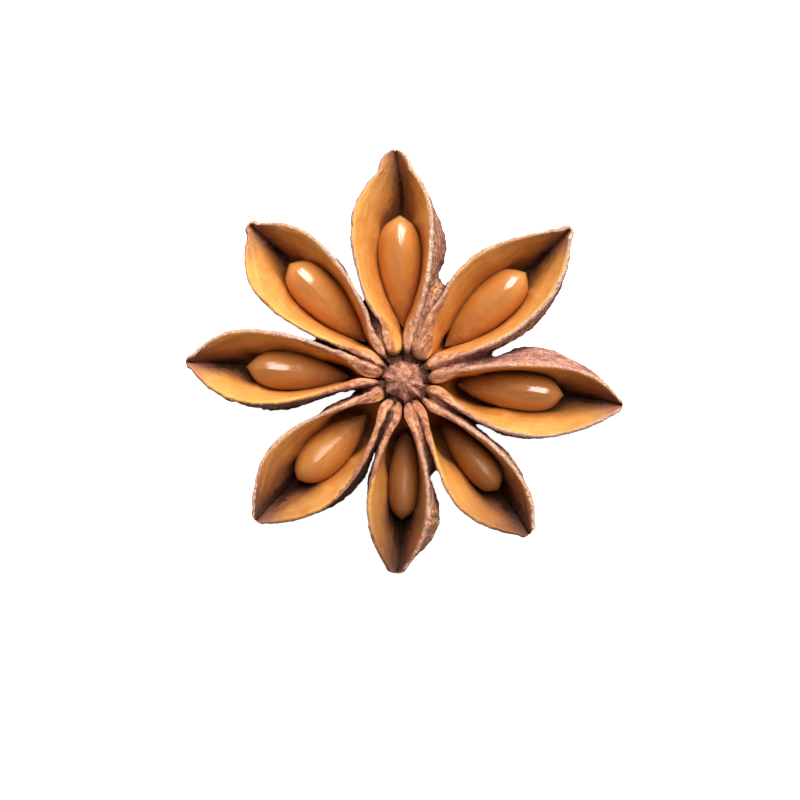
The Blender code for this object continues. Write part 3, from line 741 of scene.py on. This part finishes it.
def build_seed(husk, material):
    x = 0.5 - 0.5 * np.cos(math.pi * np.linspace(0.0, 1.0, SEED_RINGS + 2)[1:-1, None])
    u = husk.seed.inner + x * (husk.seed.outer - husk.seed.inner)
    across, up = seed_section()
    v = axis_shift(husk, u) + husk.seed.half * seed_shape(husk.seed, x) * across
    z = equator_height(husk, u) + np.where(up > 0.0, SEED_TOP, SEED_BELOW) * seed_rise(x) * up
    local = np.stack([np.broadcast_to(u, v.shape), v, z], axis=-1)
    dents = relief(DENTS, local + SEEDS_APART * HUSKS.index(husk), 0)
    local = local + surface_normals(local) * dents[..., None]
    end = np.array([husk.seed.inner, husk.seed.outer])
    ends = np.stack([end, axis_shift(husk, end), equator_height(husk, end)], axis=-1)
    points = np.concatenate([local.reshape(-1, 3), ends])
    faces = [face[::-1] for face in ring_faces(SEED_RINGS, SEED_SIDES)]
    last = (SEED_RINGS - 1) * SEED_SIDES
    for i in range(SEED_SIDES):
        j = (i + 1) % SEED_SIDES
        faces.append((SEED_RINGS * SEED_SIDES, j, i))
        faces.append((SEED_RINGS * SEED_SIDES + 1, last + i, last + j))
    lengthwise = (points[:, 0] - husk.seed.inner) / (husk.seed.outer - husk.seed.inner)
    # Painted shade on the seed's inner end, strongest in the hollowest husks.
    sunk = SUNK_WEIGHT * husk.hollow * smooth(*SUNK_RUN, points[:, 0])
    values = {"local": points, "along": lengthwise, "sunk": sunk}
    for name in ("tone", "gloss"):
        values[name] = np.full(len(points), getattr(husk.seed, name))
    piece = add_piece("kernel_" + husk.name, turned(husk, *points.T), faces, material, values)
    return standing_for(piece, "seed_" + husk.name)


def standing_for(piece, node):
    """The piece takes the place of one node of the frame."""
    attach(piece, "root")
    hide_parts(node)
    return piece


# ---------------------------------------------------------------- the column
# Outline of the column, from the stalk scar's centre up to the head's edge: height, radius, how star-shaped.
COLUMN_OUTLINE = [
    (0.16, 0.05, 0.0),
    (0.14, 0.80, 0.0),
    (0.02, 1.10, 0.0),
    (0.05, 1.24, 0.0),
    (0.35, 1.38, 0.0),
    (3.00, COLUMN_R, 0.0),
    (5.60, 1.30, 0.0),
    (6.20, 1.24, 0.2),
    (6.60, 1.22, 0.6),
    (6.85, 1.20, 1.0),
]
# The head's corners: direction and distance.
HEAD_CORNERS = [
    (52.0, 1.60), (96.0, 1.60), (130.0, 1.72), (168.0, 1.64),
    (212.0, 1.53), (269.0, 1.62), (314.0, 1.76), (347.0, 1.76),
]
HEAD_TOP = 7.45
HEAD_FROM = (6.2, 6.9)
HEAD_BULGE = 3
HEAD_NUB = 0.14
NUB_WIDTH = 0.24
EDGE_HOLLOW = 0.06
VALLEY_NORTH = 0.16
VALLEY_SOUTH = 0.52
VALLEY_DEEPENS = 1.3
LOW_AT_EDGE = 0.35
INNERMOST = 0.02
SIDE_RINGS = 70
HEAD_RINGS = 56


def head_outline(angle):
    """The head's reach in each direction, and how far that is from a corner: 0 at a corner, 1 halfway."""
    reach, valley = np.zeros(len(angle)), np.zeros(len(angle))
    for corner, following in zip(HEAD_CORNERS, HEAD_CORNERS[1:] + HEAD_CORNERS[:1]):
        gap = math.radians((following[0] - corner[0]) % 360.0)
        turned_by = (angle - math.radians(corner[0])) % (2.0 * math.pi)
        here = turned_by < gap
        straight = corner[1] * np.sin(gap - turned_by) + following[1] * np.sin(turned_by)
        share = turned_by / gap
        between = 1.0 - np.abs(2.0 * share - 1.0)
        edge = corner[1] * following[1] * math.sin(gap) / np.where(here, straight, 1.0)
        reach = np.where(here, edge * (1.0 - EDGE_HOLLOW * between), reach)
        valley = np.where(here, between, valley)
    return reach, valley


def build_column(material):
    outline = np.array(COLUMN_OUTLINE)
    steps = np.linspace(0.0, len(outline) - 1.0, SIDE_RINGS)[:, None]
    height, radius, star = (np.interp(steps, np.arange(len(outline)), outline[:, i]) for i in range(3))
    inwards = np.linspace(1.0, INNERMOST, HEAD_RINGS)[1:, None]
    over = np.concatenate([np.ones_like(steps), inwards])
    height = np.concatenate([height, HEAD_TOP - (HEAD_TOP - height[-1]) * inwards ** HEAD_BULGE])
    radius = np.concatenate([radius, np.full_like(inwards, radius[-1])])
    star = np.concatenate([star, np.ones_like(inwards)])
    angle = 2.0 * math.pi * np.arange(COLUMN_SIDES) / COLUMN_SIDES
    corners, valley = head_outline(angle)
    reach = (radius * (1.0 - star) + corners * star) * over
    southward = 0.5 - 0.5 * np.sin(angle)
    deep = (VALLEY_NORTH + (VALLEY_SOUTH - VALLEY_NORTH) * southward ** 2) * valley
    nub = HEAD_NUB * bell(over, 0.0, NUB_WIDTH)
    risen = height + smooth(*HEAD_FROM, height) * (nub - deep * over ** VALLEY_DEEPENS)
    points = np.stack([reach * np.cos(angle), reach * np.sin(angle), risen], axis=-1)
    rugged = relief(RUGGED, points, 0) + relief(GRAINY, points, 0)
    points = points - surface_normals(points) * rugged[..., None]
    rings, count = reach.shape
    faces = [face[::-1] for face in ring_faces(rings, count)]
    faces.append(tuple(range(count))[::-1])
    faces.append(tuple(range((rings - 1) * count, rings * count)))
    placed = points * MM
    placed[..., 2] = np.maximum(placed[..., 2], 0.0)
    # How much painted shade the head's valleys, deepest to the south, and its edge get.
    low = deep * over + LOW_AT_EDGE * over ** 4
    piece = add_piece("core", placed, faces, material, {"local": points, "rugged": rugged, "low": low})
    return standing_for(piece, "column")


# ---------------------------------------------------------------- material nodes
class Tree:
    """A material's node tree, with short calls for the nodes used here."""

    def __init__(self, name):
        self.material = bpy.data.materials.new(name)
        self.material.use_nodes = True
        self.nodes = self.material.node_tree.nodes
        self.links = self.material.node_tree.links
        self.shader = self.nodes["Principled BSDF"]

    def add(self, kind, inputs, **settings):
        """A node with its inputs set by name or number, each from a value or from another node's output."""
        node = self.nodes.new(kind)
        for name, value in settings.items():
            setattr(node, name, value)
        for name, value in inputs.items():
            self.put(node.inputs[name], value)
        return node

    def put(self, socket, value):
        if isinstance(value, bpy.types.NodeSocket):
            self.links.new(value, socket)
        elif isinstance(value, tuple) and len(value) == 3 and socket.type == "RGBA":
            socket.default_value = (*value, 1.0)
        else:
            socket.default_value = value

    def attribute(self, name, output="Fac"):
        return self.add("ShaderNodeAttribute", {}, attribute_name=name).outputs[output]

    def scaled(self, vector, scale):
        return self.add("ShaderNodeVectorMath", {0: vector, 1: scale}, operation="MULTIPLY").outputs[0]

    def noise(self, vector, scale, detail=3.0, roughness=0.55, distortion=0.0):
        inputs = {"Vector": vector, "Scale": scale, "Detail": detail, "Roughness": roughness,
                  "Distortion": distortion}
        return self.add("ShaderNodeTexNoise", inputs).outputs["Fac"]

    def span(self, value, start, stop, low=0.0, high=1.0):
        """Goes smoothly from low at start to high at stop."""
        inputs = {"Value": value, "From Min": start, "From Max": stop, "To Min": low, "To Max": high}
        return self.add("ShaderNodeMapRange", inputs, interpolation_type="SMOOTHSTEP").outputs[0]

    def maths(self, operation, a, b=0.0):
        return self.add("ShaderNodeMath", {0: a, 1: b}, operation=operation).outputs[0]

    def times(self, a, b):
        return self.maths("MULTIPLY", a, b)

    def plus(self, a, b):
        return self.maths("ADD", a, b)

    def less(self, a, b):
        return self.maths("SUBTRACT", a, b)

    def mix(self, factor, a, b):
        """Colour a where factor is 0, b where it is 1."""
        node = self.add("ShaderNodeMix", {}, data_type="RGBA")
        for socket, value in ((node.inputs[0], factor), (node.inputs[6], a), (node.inputs[7], b)):
            self.put(socket, value)
        return node.outputs[2]

    def layered(self, colour, layers, drivers):
        """The colour with layers laid over it; drivers holds what their names stand for."""
        for layer in layers:
            colour = self.mix(self.span(drivers[layer.driver], *layer[2:]), colour, layer.colour)
        return colour

    def bump(self, height, distance, strength=1.0, normal=None):
        node = self.add("ShaderNodeBump", {"Height": height, "Distance": distance, "Strength": strength})
        if normal is not None:
            self.links.new(normal, node.inputs["Normal"])
        return node.outputs[0]

    def surface(self, **inputs):
        for name, value in inputs.items():
            self.put(self.shader.inputs[name.replace("_", " ")], value)


def world_mm(tree):
    """Place in the pod, in millimetres."""
    return tree.scaled(tree.add("ShaderNodeTexCoord", {}).outputs["Object"], (1000.0, 1000.0, 1000.0))


# A layer of colour, laid over what is below it: the value that drives it, its colour as linear red, green and
# blue, from where to where it goes, and how strong it is at both. In this part a name that ends in SPAN holds
# the same four numbers, or only the first two where the strength goes from 0 to 1. The depth below the rim, u
# out from the column and the edge's distance are in millimetres, the heights of bumps in metres.
Layer = namedtuple("Layer", "driver colour start stop low high", defaults=(0.0, 1.0))

WALL_ORANGE = (0.84, 0.395, 0.102)
WALL_LAYERS = [
    Layer("depth", (0.65, 0.238, 0.046), 0.2, 2.6),
    Layer("depth", (0.36, 0.12, 0.035), 2.6, 5.0),
    Layer("lines", (0.50, 0.18, 0.04), 0.42, 0.72, 0.0, 0.35),
    Layer("blotch", (0.86, 0.46, 0.14), 0.48, 0.66, 0.0, 0.35),
    Layer("blotch", (0.60, 0.21, 0.040), 0.52, 0.34, 0.0, 0.30),
]
# Painted shade in the cavity: brown, then near black where it is strongest.
CAVITY_SHADE_LAYERS = [
    Layer("shade", (0.17, 0.062, 0.030), 0.02, 0.55, 0.0, 0.82),
    Layer("shade", (0.030, 0.012, 0.008), 0.50, 0.92, 0.0, 0.93),
]
# Browning towards the tip, together with painted shade on the walls that face away from the light.
BROWNED_AND_SHADED, BROWNED_AND_SHADED_WEIGHT = (0.25, 0.080, 0.033), 0.88
DRY_BROWN, DRY_TAN, DRY_BURNT = (0.26, 0.09, 0.055), (0.74, 0.34, 0.21), (0.11, 0.05, 0.035)
SHADE_SPAN = (0.25, 0.75, 0.80, 1.15)
TIP_WANDERS_SPAN = (0.3, 0.7, -0.6, 0.6)
DRY_SPAN = (0.3, 2.6, 0.85, 0.0)

LIP_BROWN = (0.62, 0.215, 0.105)
LIP_LAYERS = [
    Layer("fine", (1.0, 0.50, 0.28), 0.36, 0.62),
    Layer("fibre", (0.42, 0.13, 0.075), 0.52, 0.60, 0.0, 0.75),
    # Pale streaks along the fibres: painted glints.
    Layer("fibre", (1.0, 0.58, 0.38), 0.36, 0.44, 0.45, 0.0),
    Layer("blotch", (0.50, 0.17, 0.090), 0.48, 0.66, 0.0, 0.50),
    Layer("u", (0.52, 0.20, 0.12), 4.0, 7.5, 0.0, 0.65),
    # A dark outline and painted shade down each lip's outer flank.
    Layer("edge", (0.20, 0.062, 0.044), 0.06, -0.30, 0.0, 0.80),
    Layer("speck", (0.22, 0.075, 0.045), 0.60, 0.72, 0.0, 0.70),
]

SKIN_BROWN, SKIN_ROSE, SKIN_MAUVE = (0.50, 0.165, 0.070), (0.58, 0.195, 0.135), (0.42, 0.18, 0.165)
SKIN_SPOT, SKIN_CRACK = (0.16, 0.050, 0.038), (0.16, 0.052, 0.042)
# Painted shade: the skin low down and in the valleys between husks.
SKIN_SHADE_BELOW, SKIN_SHADE_BETWEEN = (0.085, 0.032, 0.024), (0.14, 0.054, 0.043)
SKIN_TAN = [Layer("fine", (0.95, 0.46, 0.23), 0.40, 0.58)]
SKIN_PINK = [Layer("fine", (0.98, 0.51, 0.37), 0.38, 0.60)]
SKIN_GRAINS = [Layer("grain", (1.0, 0.62, 0.45), 0.43, 0.34, 0.0, 0.50)]
SKIN_SPECKS = [
    Layer("speck", (0.19, 0.062, 0.050), 0.56, 0.68, 0.0, 0.60),
    Layer("speck", (1.0, 0.74, 0.56), 0.32, 0.42, 0.5, 0.0),
]
WART_CREAM = (1.0, 0.52, 0.27)
WART_LAYERS = [Layer("grain", (0.46, 0.125, 0.050), 0.48, 0.60)]
MAUVE_SPAN = (0.50, 0.62, 0.0, 0.85)
UNROSY_SPAN = (0.6, 1.0, 1.0, 0.3)
SPOT_SPAN = (0.54, 0.64, 0.0, 0.70)
WART_WEIGHT = 0.9
CRACK_SPAN = (0.0, 0.024, 0.75, 0.0)
CRACKED_SPAN = (0.40, 0.60)
SUNK_SPAN = (4.5, 8.0, 1.0, 0.0)
LOW_SPAN = (1.6, 3.6, 0.0, 0.80)
DARK_WEIGHT, LOW_MOST = 0.75, 0.93
UNWARTED_SPAN = (0.0, 0.8, 1.0, 0.0)
VALLEY_SPAN, UNDER_SPAN, VALLEY_WEIGHT = (0.15, 0.85), (0.3, 1.2), 0.85

WANDER_SPAN = (0.3, 0.7, -0.12, 0.12)
ON_LIP_SPAN, INTO_WALL_SPAN = (-0.20, 0.02), (-0.07, 0.07)
BY_LIP_SPAN, BY_COLUMN_SPAN = (0.0, 0.40, 0.7, 0.0), (3.5, 6.5, 1.0, 0.0)
# Painted shade on the inner wall just under the lip, near the column.
WALL_SHADED_BY_LIP = (0.42, 0.145, 0.055)
RIM_TAN = (0.68, 0.36, 0.24)
RIM_LAYERS = [Layer("speck", (1.0, 0.78, 0.60), 0.35, 0.60)]
PALE_WIDE_SPAN = (0.0, 1.0, 0.08, 0.36)
PALE_STARTS_SPAN, PALE_ENDS_SPAN = (-0.10, 0.0), (-0.05, 0.05, 1.0, 0.0)
PALE_OUT_SPAN, BROKEN_SPAN = (3.0, 8.0, 0.15, 1.0), (0.36, 0.52, 0.45, 1.0)
# Painted shade in the hollow round the column's head.
MOAT_SHADE = (0.045, 0.020, 0.016)
MOAT_LAYERS = [Layer("fine", (0.20, 0.085, 0.060), 0.35, 0.65)]
MOAT_OUT_SPAN, MOAT_LOW_SPAN = (2.2, 3.2, 0.85, 0.0), (0.5, 1.2)
HUSK_ROUGHNESS_SPAN = (0.0, 1.0, 0.70, 0.50)
SKIN_BUMP, SKIN_BUMP_SPAN, FIBRE_BUMP = 0.00030, (0.0, 1.0, 1.0, 0.0), 0.8
WALL_BUMP, WALL_BUMP_SPAN = 0.00005, (0.0, 1.0, 0.0, 0.7)

# Painted shade: each seed darker towards its inner end, and darker still where it sinks in the hollowest
# husks.
SEED_SHADED_END, SEED_SUNK_SHADE = (0.26, 0.088, 0.024), (0.10, 0.038, 0.017)
SEED_LAYERS = [
    Layer("along", (0.54, 0.195, 0.040), -0.02, 0.55),
    # Painted glow of light through the seed: lighter towards its outer end.
    Layer("along", (0.68, 0.31, 0.09), 0.75, 1.0, 0.0, 0.6),
    Layer("mottle", (0.62, 0.26, 0.06), 0.4, 0.7, 0.0, 0.5),
    # Its own tone, and painted shade: the seeds that lie in shade are darker.
    Layer("tone", (0.17, 0.056, 0.014), 0.0, 1.0, 1.0, 0.0),
]
SEED_ROUGHNESS_SPAN, DULL_SPAN = (0.3, 0.7, 0.34, 0.46), (0.0, 0.6, 0.12, 0.0)
SEED_BUMP, SEED_BUMP_WEIGHT = 0.00010, 0.6

HEAD_BROWN = (0.40, 0.145, 0.072)
HEAD_LAYERS = [
    Layer("fine", (0.70, 0.33, 0.215), 0.38, 0.62),
    Layer("blotch", (0.56, 0.30, 0.25), 0.45, 0.65, 0.0, 0.4),
    # Painted shade: darker in the head's valleys, at its edge and where its relief sinks in.
    Layer("low", (0.18, 0.064, 0.048), 0.12, 0.46, 0.0, 0.80),
    Layer("rugged", (0.24, 0.085, 0.055), -0.01, 0.05, 0.0, 0.6),
]
HEAD_BUMP = 0.00018


def inner_colour(tree, inputs):
    """Inner wall: satin orange, redder towards the floor; painted shade makes it almost black in the crease
    beyond the seed, and browning with painted shade darkens it towards the tip.
    """
    colour = tree.layered(WALL_ORANGE, WALL_LAYERS, inputs)
    # Browning with painted shade towards the tip.
    colour = tree.mix(tree.times(inputs["brown"], BROWNED_AND_SHADED_WEIGHT), colour, BROWNED_AND_SHADED)
    shade = tree.times(inputs["gloom"], tree.span(inputs["fine"], *SHADE_SPAN))
    colour = tree.layered(colour, CAVITY_SHADE_LAYERS, {"shade": shade})
    wandering = tree.plus(inputs["tipward"], tree.span(inputs["fine"], *TIP_WANDERS_SPAN))
    dry = tree.mix(inputs["speck"], DRY_BROWN, DRY_TAN)
    # The dry tip turns burnt dark where the browning and painted shade are strongest.
    dry = tree.mix(inputs["brown"], dry, DRY_BURNT)
    return tree.mix(tree.span(wandering, *DRY_SPAN), colour, dry)


def skin_colour(tree, inputs):
    """Outer skin: rosy or orange tan, fibrous, with mauve patches and dark cracks; dark brown low down and on
    some sides, partly its own colour and partly painted shade, and painted shade in the valleys between
    husks.
    """
    fine = {"fine": tree.times(tree.plus(inputs["fine"], inputs["fibre"]), 0.5)}
    tan, pink = tree.layered(SKIN_BROWN, SKIN_TAN, fine), tree.layered(SKIN_ROSE, SKIN_PINK, fine)
    colour = tree.mix(inputs["rosy"], tan, pink)
    mauve = tree.times(tree.span(inputs["blotch"], *MAUVE_SPAN), inputs["rosy"])
    colour = tree.mix(mauve, colour, SKIN_MAUVE)
    spots = tree.times(tree.span(inputs["grain"], *SPOT_SPAN), tree.span(inputs["rosy"], *UNROSY_SPAN))
    colour = tree.layered(tree.mix(spots, colour, SKIN_SPOT), SKIN_GRAINS, inputs)
    warts = tree.layered(WART_CREAM, WART_LAYERS, inputs)
    colour = tree.mix(tree.times(inputs["wart"], WART_WEIGHT), colour, warts)
    crack = tree.maths("ABSOLUTE", tree.less(inputs["fibre"], 0.5))
    crack = tree.times(tree.span(crack, *CRACK_SPAN), tree.span(inputs["blotch"], *CRACKED_SPAN))
    colour = tree.layered(tree.mix(crack, colour, SKIN_CRACK), SKIN_SPECKS, inputs)
    # Painted shade, with some of the skin's own darkening: darker the lower it lies and where the rim asks
    # for it, less on the warts.
    sunk = tree.plus(inputs["depth"], tree.span(inputs["u"], *SUNK_SPAN))
    low = tree.plus(tree.span(sunk, *LOW_SPAN), tree.times(inputs["dark"], DARK_WEIGHT))
    low = tree.times(low, tree.span(inputs["wart"], *UNWARTED_SPAN))
    colour = tree.mix(tree.maths("MINIMUM", low, LOW_MOST), colour, SKIN_SHADE_BELOW)
    # Painted shade in the valleys between husks.
    between = tree.times(tree.span(inputs["valley"], *VALLEY_SPAN), tree.span(inputs["depth"], *UNDER_SPAN))
    return tree.mix(tree.times(between, VALLEY_WEIGHT), colour, SKIN_SHADE_BETWEEN)


def husk_inputs(tree, world):
    """What drives a husk's colours: the values stored on its mesh, and patterns across and along it."""
    names = ("edge", "depth", "gloom", "valley", "wart", "pale", "dark", "rosy", "lap", "brown", "tipward")
    inputs = {name: tree.attribute(name) for name in names}
    local = tree.attribute("local", "Vector")
    inputs["u"] = tree.add("ShaderNodeSeparateXYZ", {0: local}).outputs[0]
    inputs["fine"] = tree.noise(world, 2.6, 5.0, 0.65)
    inputs["blotch"] = tree.noise(world, 0.7, 4.0, 0.6)
    inputs["speck"] = tree.noise(world, 7.0, 3.0, 0.6)
    inputs["grain"] = tree.noise(world, 4.5, 2.0, 0.5)
    inputs["lines"] = tree.noise(tree.scaled(local, (0.35, 3.4, 3.4)), 1.0, 3.0, 0.6)
    inputs["fibre"] = tree.noise(tree.scaled(local, (0.8, 2.6, 2.6)), 1.0, 4.0, 0.6, 0.6)
    return inputs


def rim_over(tree, colour, inputs, wander, pale_wide):
    """The colour with the broken pale band along the rim's edge laid over it."""
    ends = tree.span(tree.less(wander, pale_wide), *PALE_ENDS_SPAN)
    band = tree.times(tree.span(wander, *PALE_STARTS_SPAN), ends)
    rimmed = tree.times(inputs["pale"], tree.span(inputs["u"], *PALE_OUT_SPAN))
    band = tree.times(tree.times(band, rimmed), tree.span(inputs["grain"], *BROKEN_SPAN))
    return tree.mix(band, colour, tree.layered(RIM_TAN, RIM_LAYERS, inputs))


def moat_over(tree, colour, inputs):
    """The colour with painted shade laid over the hollow round the column's head."""
    moat = tree.times(tree.span(inputs["u"], *MOAT_OUT_SPAN), tree.span(inputs["depth"], *MOAT_LOW_SPAN))
    return tree.mix(moat, colour, tree.layered(MOAT_SHADE, MOAT_LAYERS, inputs))


def husk_material():
    tree = Tree("husk")
    world = world_mm(tree)
    inputs = husk_inputs(tree, world)
    wander = tree.plus(inputs["edge"], tree.span(inputs["fine"], *WANDER_SPAN))
    pale_wide = tree.span(inputs["pale"], *PALE_WIDE_SPAN)
    past_rim = tree.less(wander, tree.plus(inputs["lap"], pale_wide))
    inside = tree.span(past_rim, *INTO_WALL_SPAN)
    lip = tree.layered(LIP_BROWN, LIP_LAYERS, inputs)
    skin = tree.mix(tree.span(wander, *ON_LIP_SPAN), skin_colour(tree, inputs), lip)
    # Painted shade on the inner wall just past the lip.
    shade_under_lip = tree.times(tree.span(past_rim, *BY_LIP_SPAN), tree.span(inputs["u"], *BY_COLUMN_SPAN))
    wall = tree.mix(shade_under_lip, inner_colour(tree, inputs), WALL_SHADED_BY_LIP)
    colour = rim_over(tree, tree.mix(inside, skin, wall), inputs, wander, pale_wide)
    colour = moat_over(tree, colour, inputs)
    rough = tree.plus(tree.noise(world, 3.2, 6.0, 0.7), tree.times(inputs["fibre"], FIBRE_BUMP))
    rough = tree.plus(rough, tree.times(inputs["wart"], inputs["grain"]))
    skin_bump = tree.bump(rough, SKIN_BUMP, tree.span(inside, *SKIN_BUMP_SPAN))
    wall_bump = tree.bump(inputs["lines"], WALL_BUMP, tree.span(inside, *WALL_BUMP_SPAN), skin_bump)
    tree.surface(Base_Color=colour, Roughness=tree.span(inside, *HUSK_ROUGHNESS_SPAN), Normal=wall_bump)
    tree.surface(Specular_IOR_Level=0.2)
    return tree.material


def seed_material():
    tree = Tree("seed")
    local = tree.attribute("local", "Vector")
    gloss = tree.attribute("gloss")
    mottle = tree.noise(tree.scaled(local, (0.5, 1.4, 1.4)), 1.0, 3.0, 0.55)
    inputs = {"along": tree.attribute("along"), "mottle": mottle, "tone": tree.attribute("tone")}
    colour = tree.layered(SEED_SHADED_END, SEED_LAYERS, inputs)
    # Painted shade on the seed's sunken inner end.
    colour = tree.mix(tree.attribute("sunk"), colour, SEED_SUNK_SHADE)
    dull = tree.plus(tree.span(mottle, *SEED_ROUGHNESS_SPAN), tree.span(gloss, *DULL_SPAN))
    tree.surface(Base_Color=colour, Roughness=dull, Specular_IOR_Level=0.32)
    tree.surface(Coat_Weight=gloss, Coat_Roughness=0.10, Coat_IOR=1.75)
    tree.surface(Subsurface_Weight=0.15, Subsurface_Radius=(1.0, 0.4, 0.15), Subsurface_Scale=0.0006)
    streaks = tree.noise(tree.scaled(local, (0.9, 2.6, 2.6)), 1.0, 4.0, 0.6)
    streaks = tree.bump(streaks, SEED_BUMP, SEED_BUMP_WEIGHT)
    tree.surface(Normal=streaks, Coat_Normal=streaks)
    return tree.material


def column_material():
    tree = Tree("column")
    world = world_mm(tree)
    inputs = {"fine": tree.noise(world, 2.2, 5.0, 0.6), "blotch": tree.noise(world, 0.9, 3.0, 0.6)}
    inputs.update(rugged=tree.attribute("rugged"), low=tree.attribute("low"))
    colour = tree.layered(HEAD_BROWN, HEAD_LAYERS, inputs)
    grain = tree.bump(tree.noise(world, 4.0, 5.0, 0.7), HEAD_BUMP)
    tree.surface(Base_Color=colour, Roughness=0.75, Normal=grain, Specular_IOR_Level=0.35)
    return tree.material


# ---------------------------------------------------------------- stage, light and camera, in metres
FLOOR_SIZE = 2.0
FLOOR_GLOW = 0.95
FLOOR_COLOUR = (0.86, 0.86, 0.86)
KEY_AZIMUTH = 72.0
KEY_ELEVATION = 53.0
KEY_DISTANCE = 0.45
KEY_POWER = 4.1
PANE_WIDE = 0.16
PANE_TALL = 0.46
PANE_GAP = 0.01
KEY_COLOUR = (1.0, 0.98, 0.95)
SKY = 0.20
GROUND = 0.15
SKY_BLENDS = (-0.15, 0.25)
SKY_COLOUR = (0.95, 0.98, 1.0, 1.0)
CAMERA_HEIGHT = 0.1505
CAMERA_AT = (-0.0003, -0.00144)
CAMERA_LENS = 85.0
CAMERA_SENSOR = 36.0


def build_floor():
    half = 0.5 * FLOOR_SIZE
    corners = [(-half, -half, 0.0), (half, -half, 0.0), (half, half, 0.0), (-half, half, 0.0)]
    mesh = bpy.data.meshes.new("floor")
    mesh.from_pydata(corners, [], [(0, 1, 2, 3)])
    floor = bpy.data.objects.new("floor", mesh)
    bpy.context.scene.collection.objects.link(floor)
    tree = Tree("floor")
    tree.surface(Base_Color=FLOOR_COLOUR, Roughness=0.9, Specular_IOR_Level=0.1)
    tree.surface(Emission_Color=(1.0, 1.0, 1.0), Emission_Strength=FLOOR_GLOW)
    mesh.materials.append(tree.material)
    floor.visible_diffuse = False
    floor.visible_glossy = False


def build_sky():
    world = bpy.data.worlds.new("sky")
    world.use_nodes = True
    bpy.context.scene.world = world
    nodes, links = world.node_tree.nodes, world.node_tree.links
    place = nodes.new("ShaderNodeTexCoord")
    split = nodes.new("ShaderNodeSeparateXYZ")
    blend = nodes.new("ShaderNodeMapRange")
    blend.inputs["From Min"].default_value, blend.inputs["From Max"].default_value = SKY_BLENDS
    blend.inputs["To Min"].default_value = GROUND
    blend.inputs["To Max"].default_value = SKY
    links.new(place.outputs["Generated"], split.inputs[0])
    links.new(split.outputs["Z"], blend.inputs["Value"])
    background = nodes["Background"]
    background.inputs["Color"].default_value = SKY_COLOUR
    links.new(blend.outputs[0], background.inputs["Strength"])


def build_key():
    """Soft light from a window of two panes."""
    azimuth, elevation = math.radians(KEY_AZIMUTH), math.radians(KEY_ELEVATION)
    flat = math.cos(elevation) * KEY_DISTANCE
    middle = (flat * math.cos(azimuth), flat * math.sin(azimuth), math.sin(elevation) * KEY_DISTANCE)
    for side in (-1, 1):
        light = bpy.data.lights.new("key", "AREA")
        light.shape = "RECTANGLE"
        light.size = PANE_WIDE
        light.size_y = PANE_TALL
        light.energy = 0.5 * KEY_POWER
        light.color = KEY_COLOUR
        lamp = bpy.data.objects.new("key", light)
        offset = side * 0.5 * (PANE_WIDE + PANE_GAP)
        aside = (-offset * math.sin(azimuth), offset * math.cos(azimuth), 0.0)
        lamp.location = [whole + part for whole, part in zip(middle, aside)]
        lamp.rotation_euler = (0.5 * math.pi - elevation, 0.0, azimuth + 0.5 * math.pi)
        bpy.context.scene.collection.objects.link(lamp)


def build_camera():
    data = bpy.data.cameras.new("camera")
    data.lens = CAMERA_LENS
    data.sensor_width = CAMERA_SENSOR
    data.clip_start = 0.001
    data.clip_end = 10.0
    camera = bpy.data.objects.new("camera", data)
    camera.location = (*CAMERA_AT, CAMERA_HEIGHT)
    bpy.context.scene.collection.objects.link(camera)
    bpy.context.scene.camera = camera


bpy.context.scene.view_settings.view_transform = "Standard"
build_camera()
build_floor()
build_sky()
build_key()

husk_look = husk_material()
seed_look = seed_material()
for one in HUSKS:
    build_husk(one, husk_look)
    build_seed(one, seed_look)
build_column(column_material())
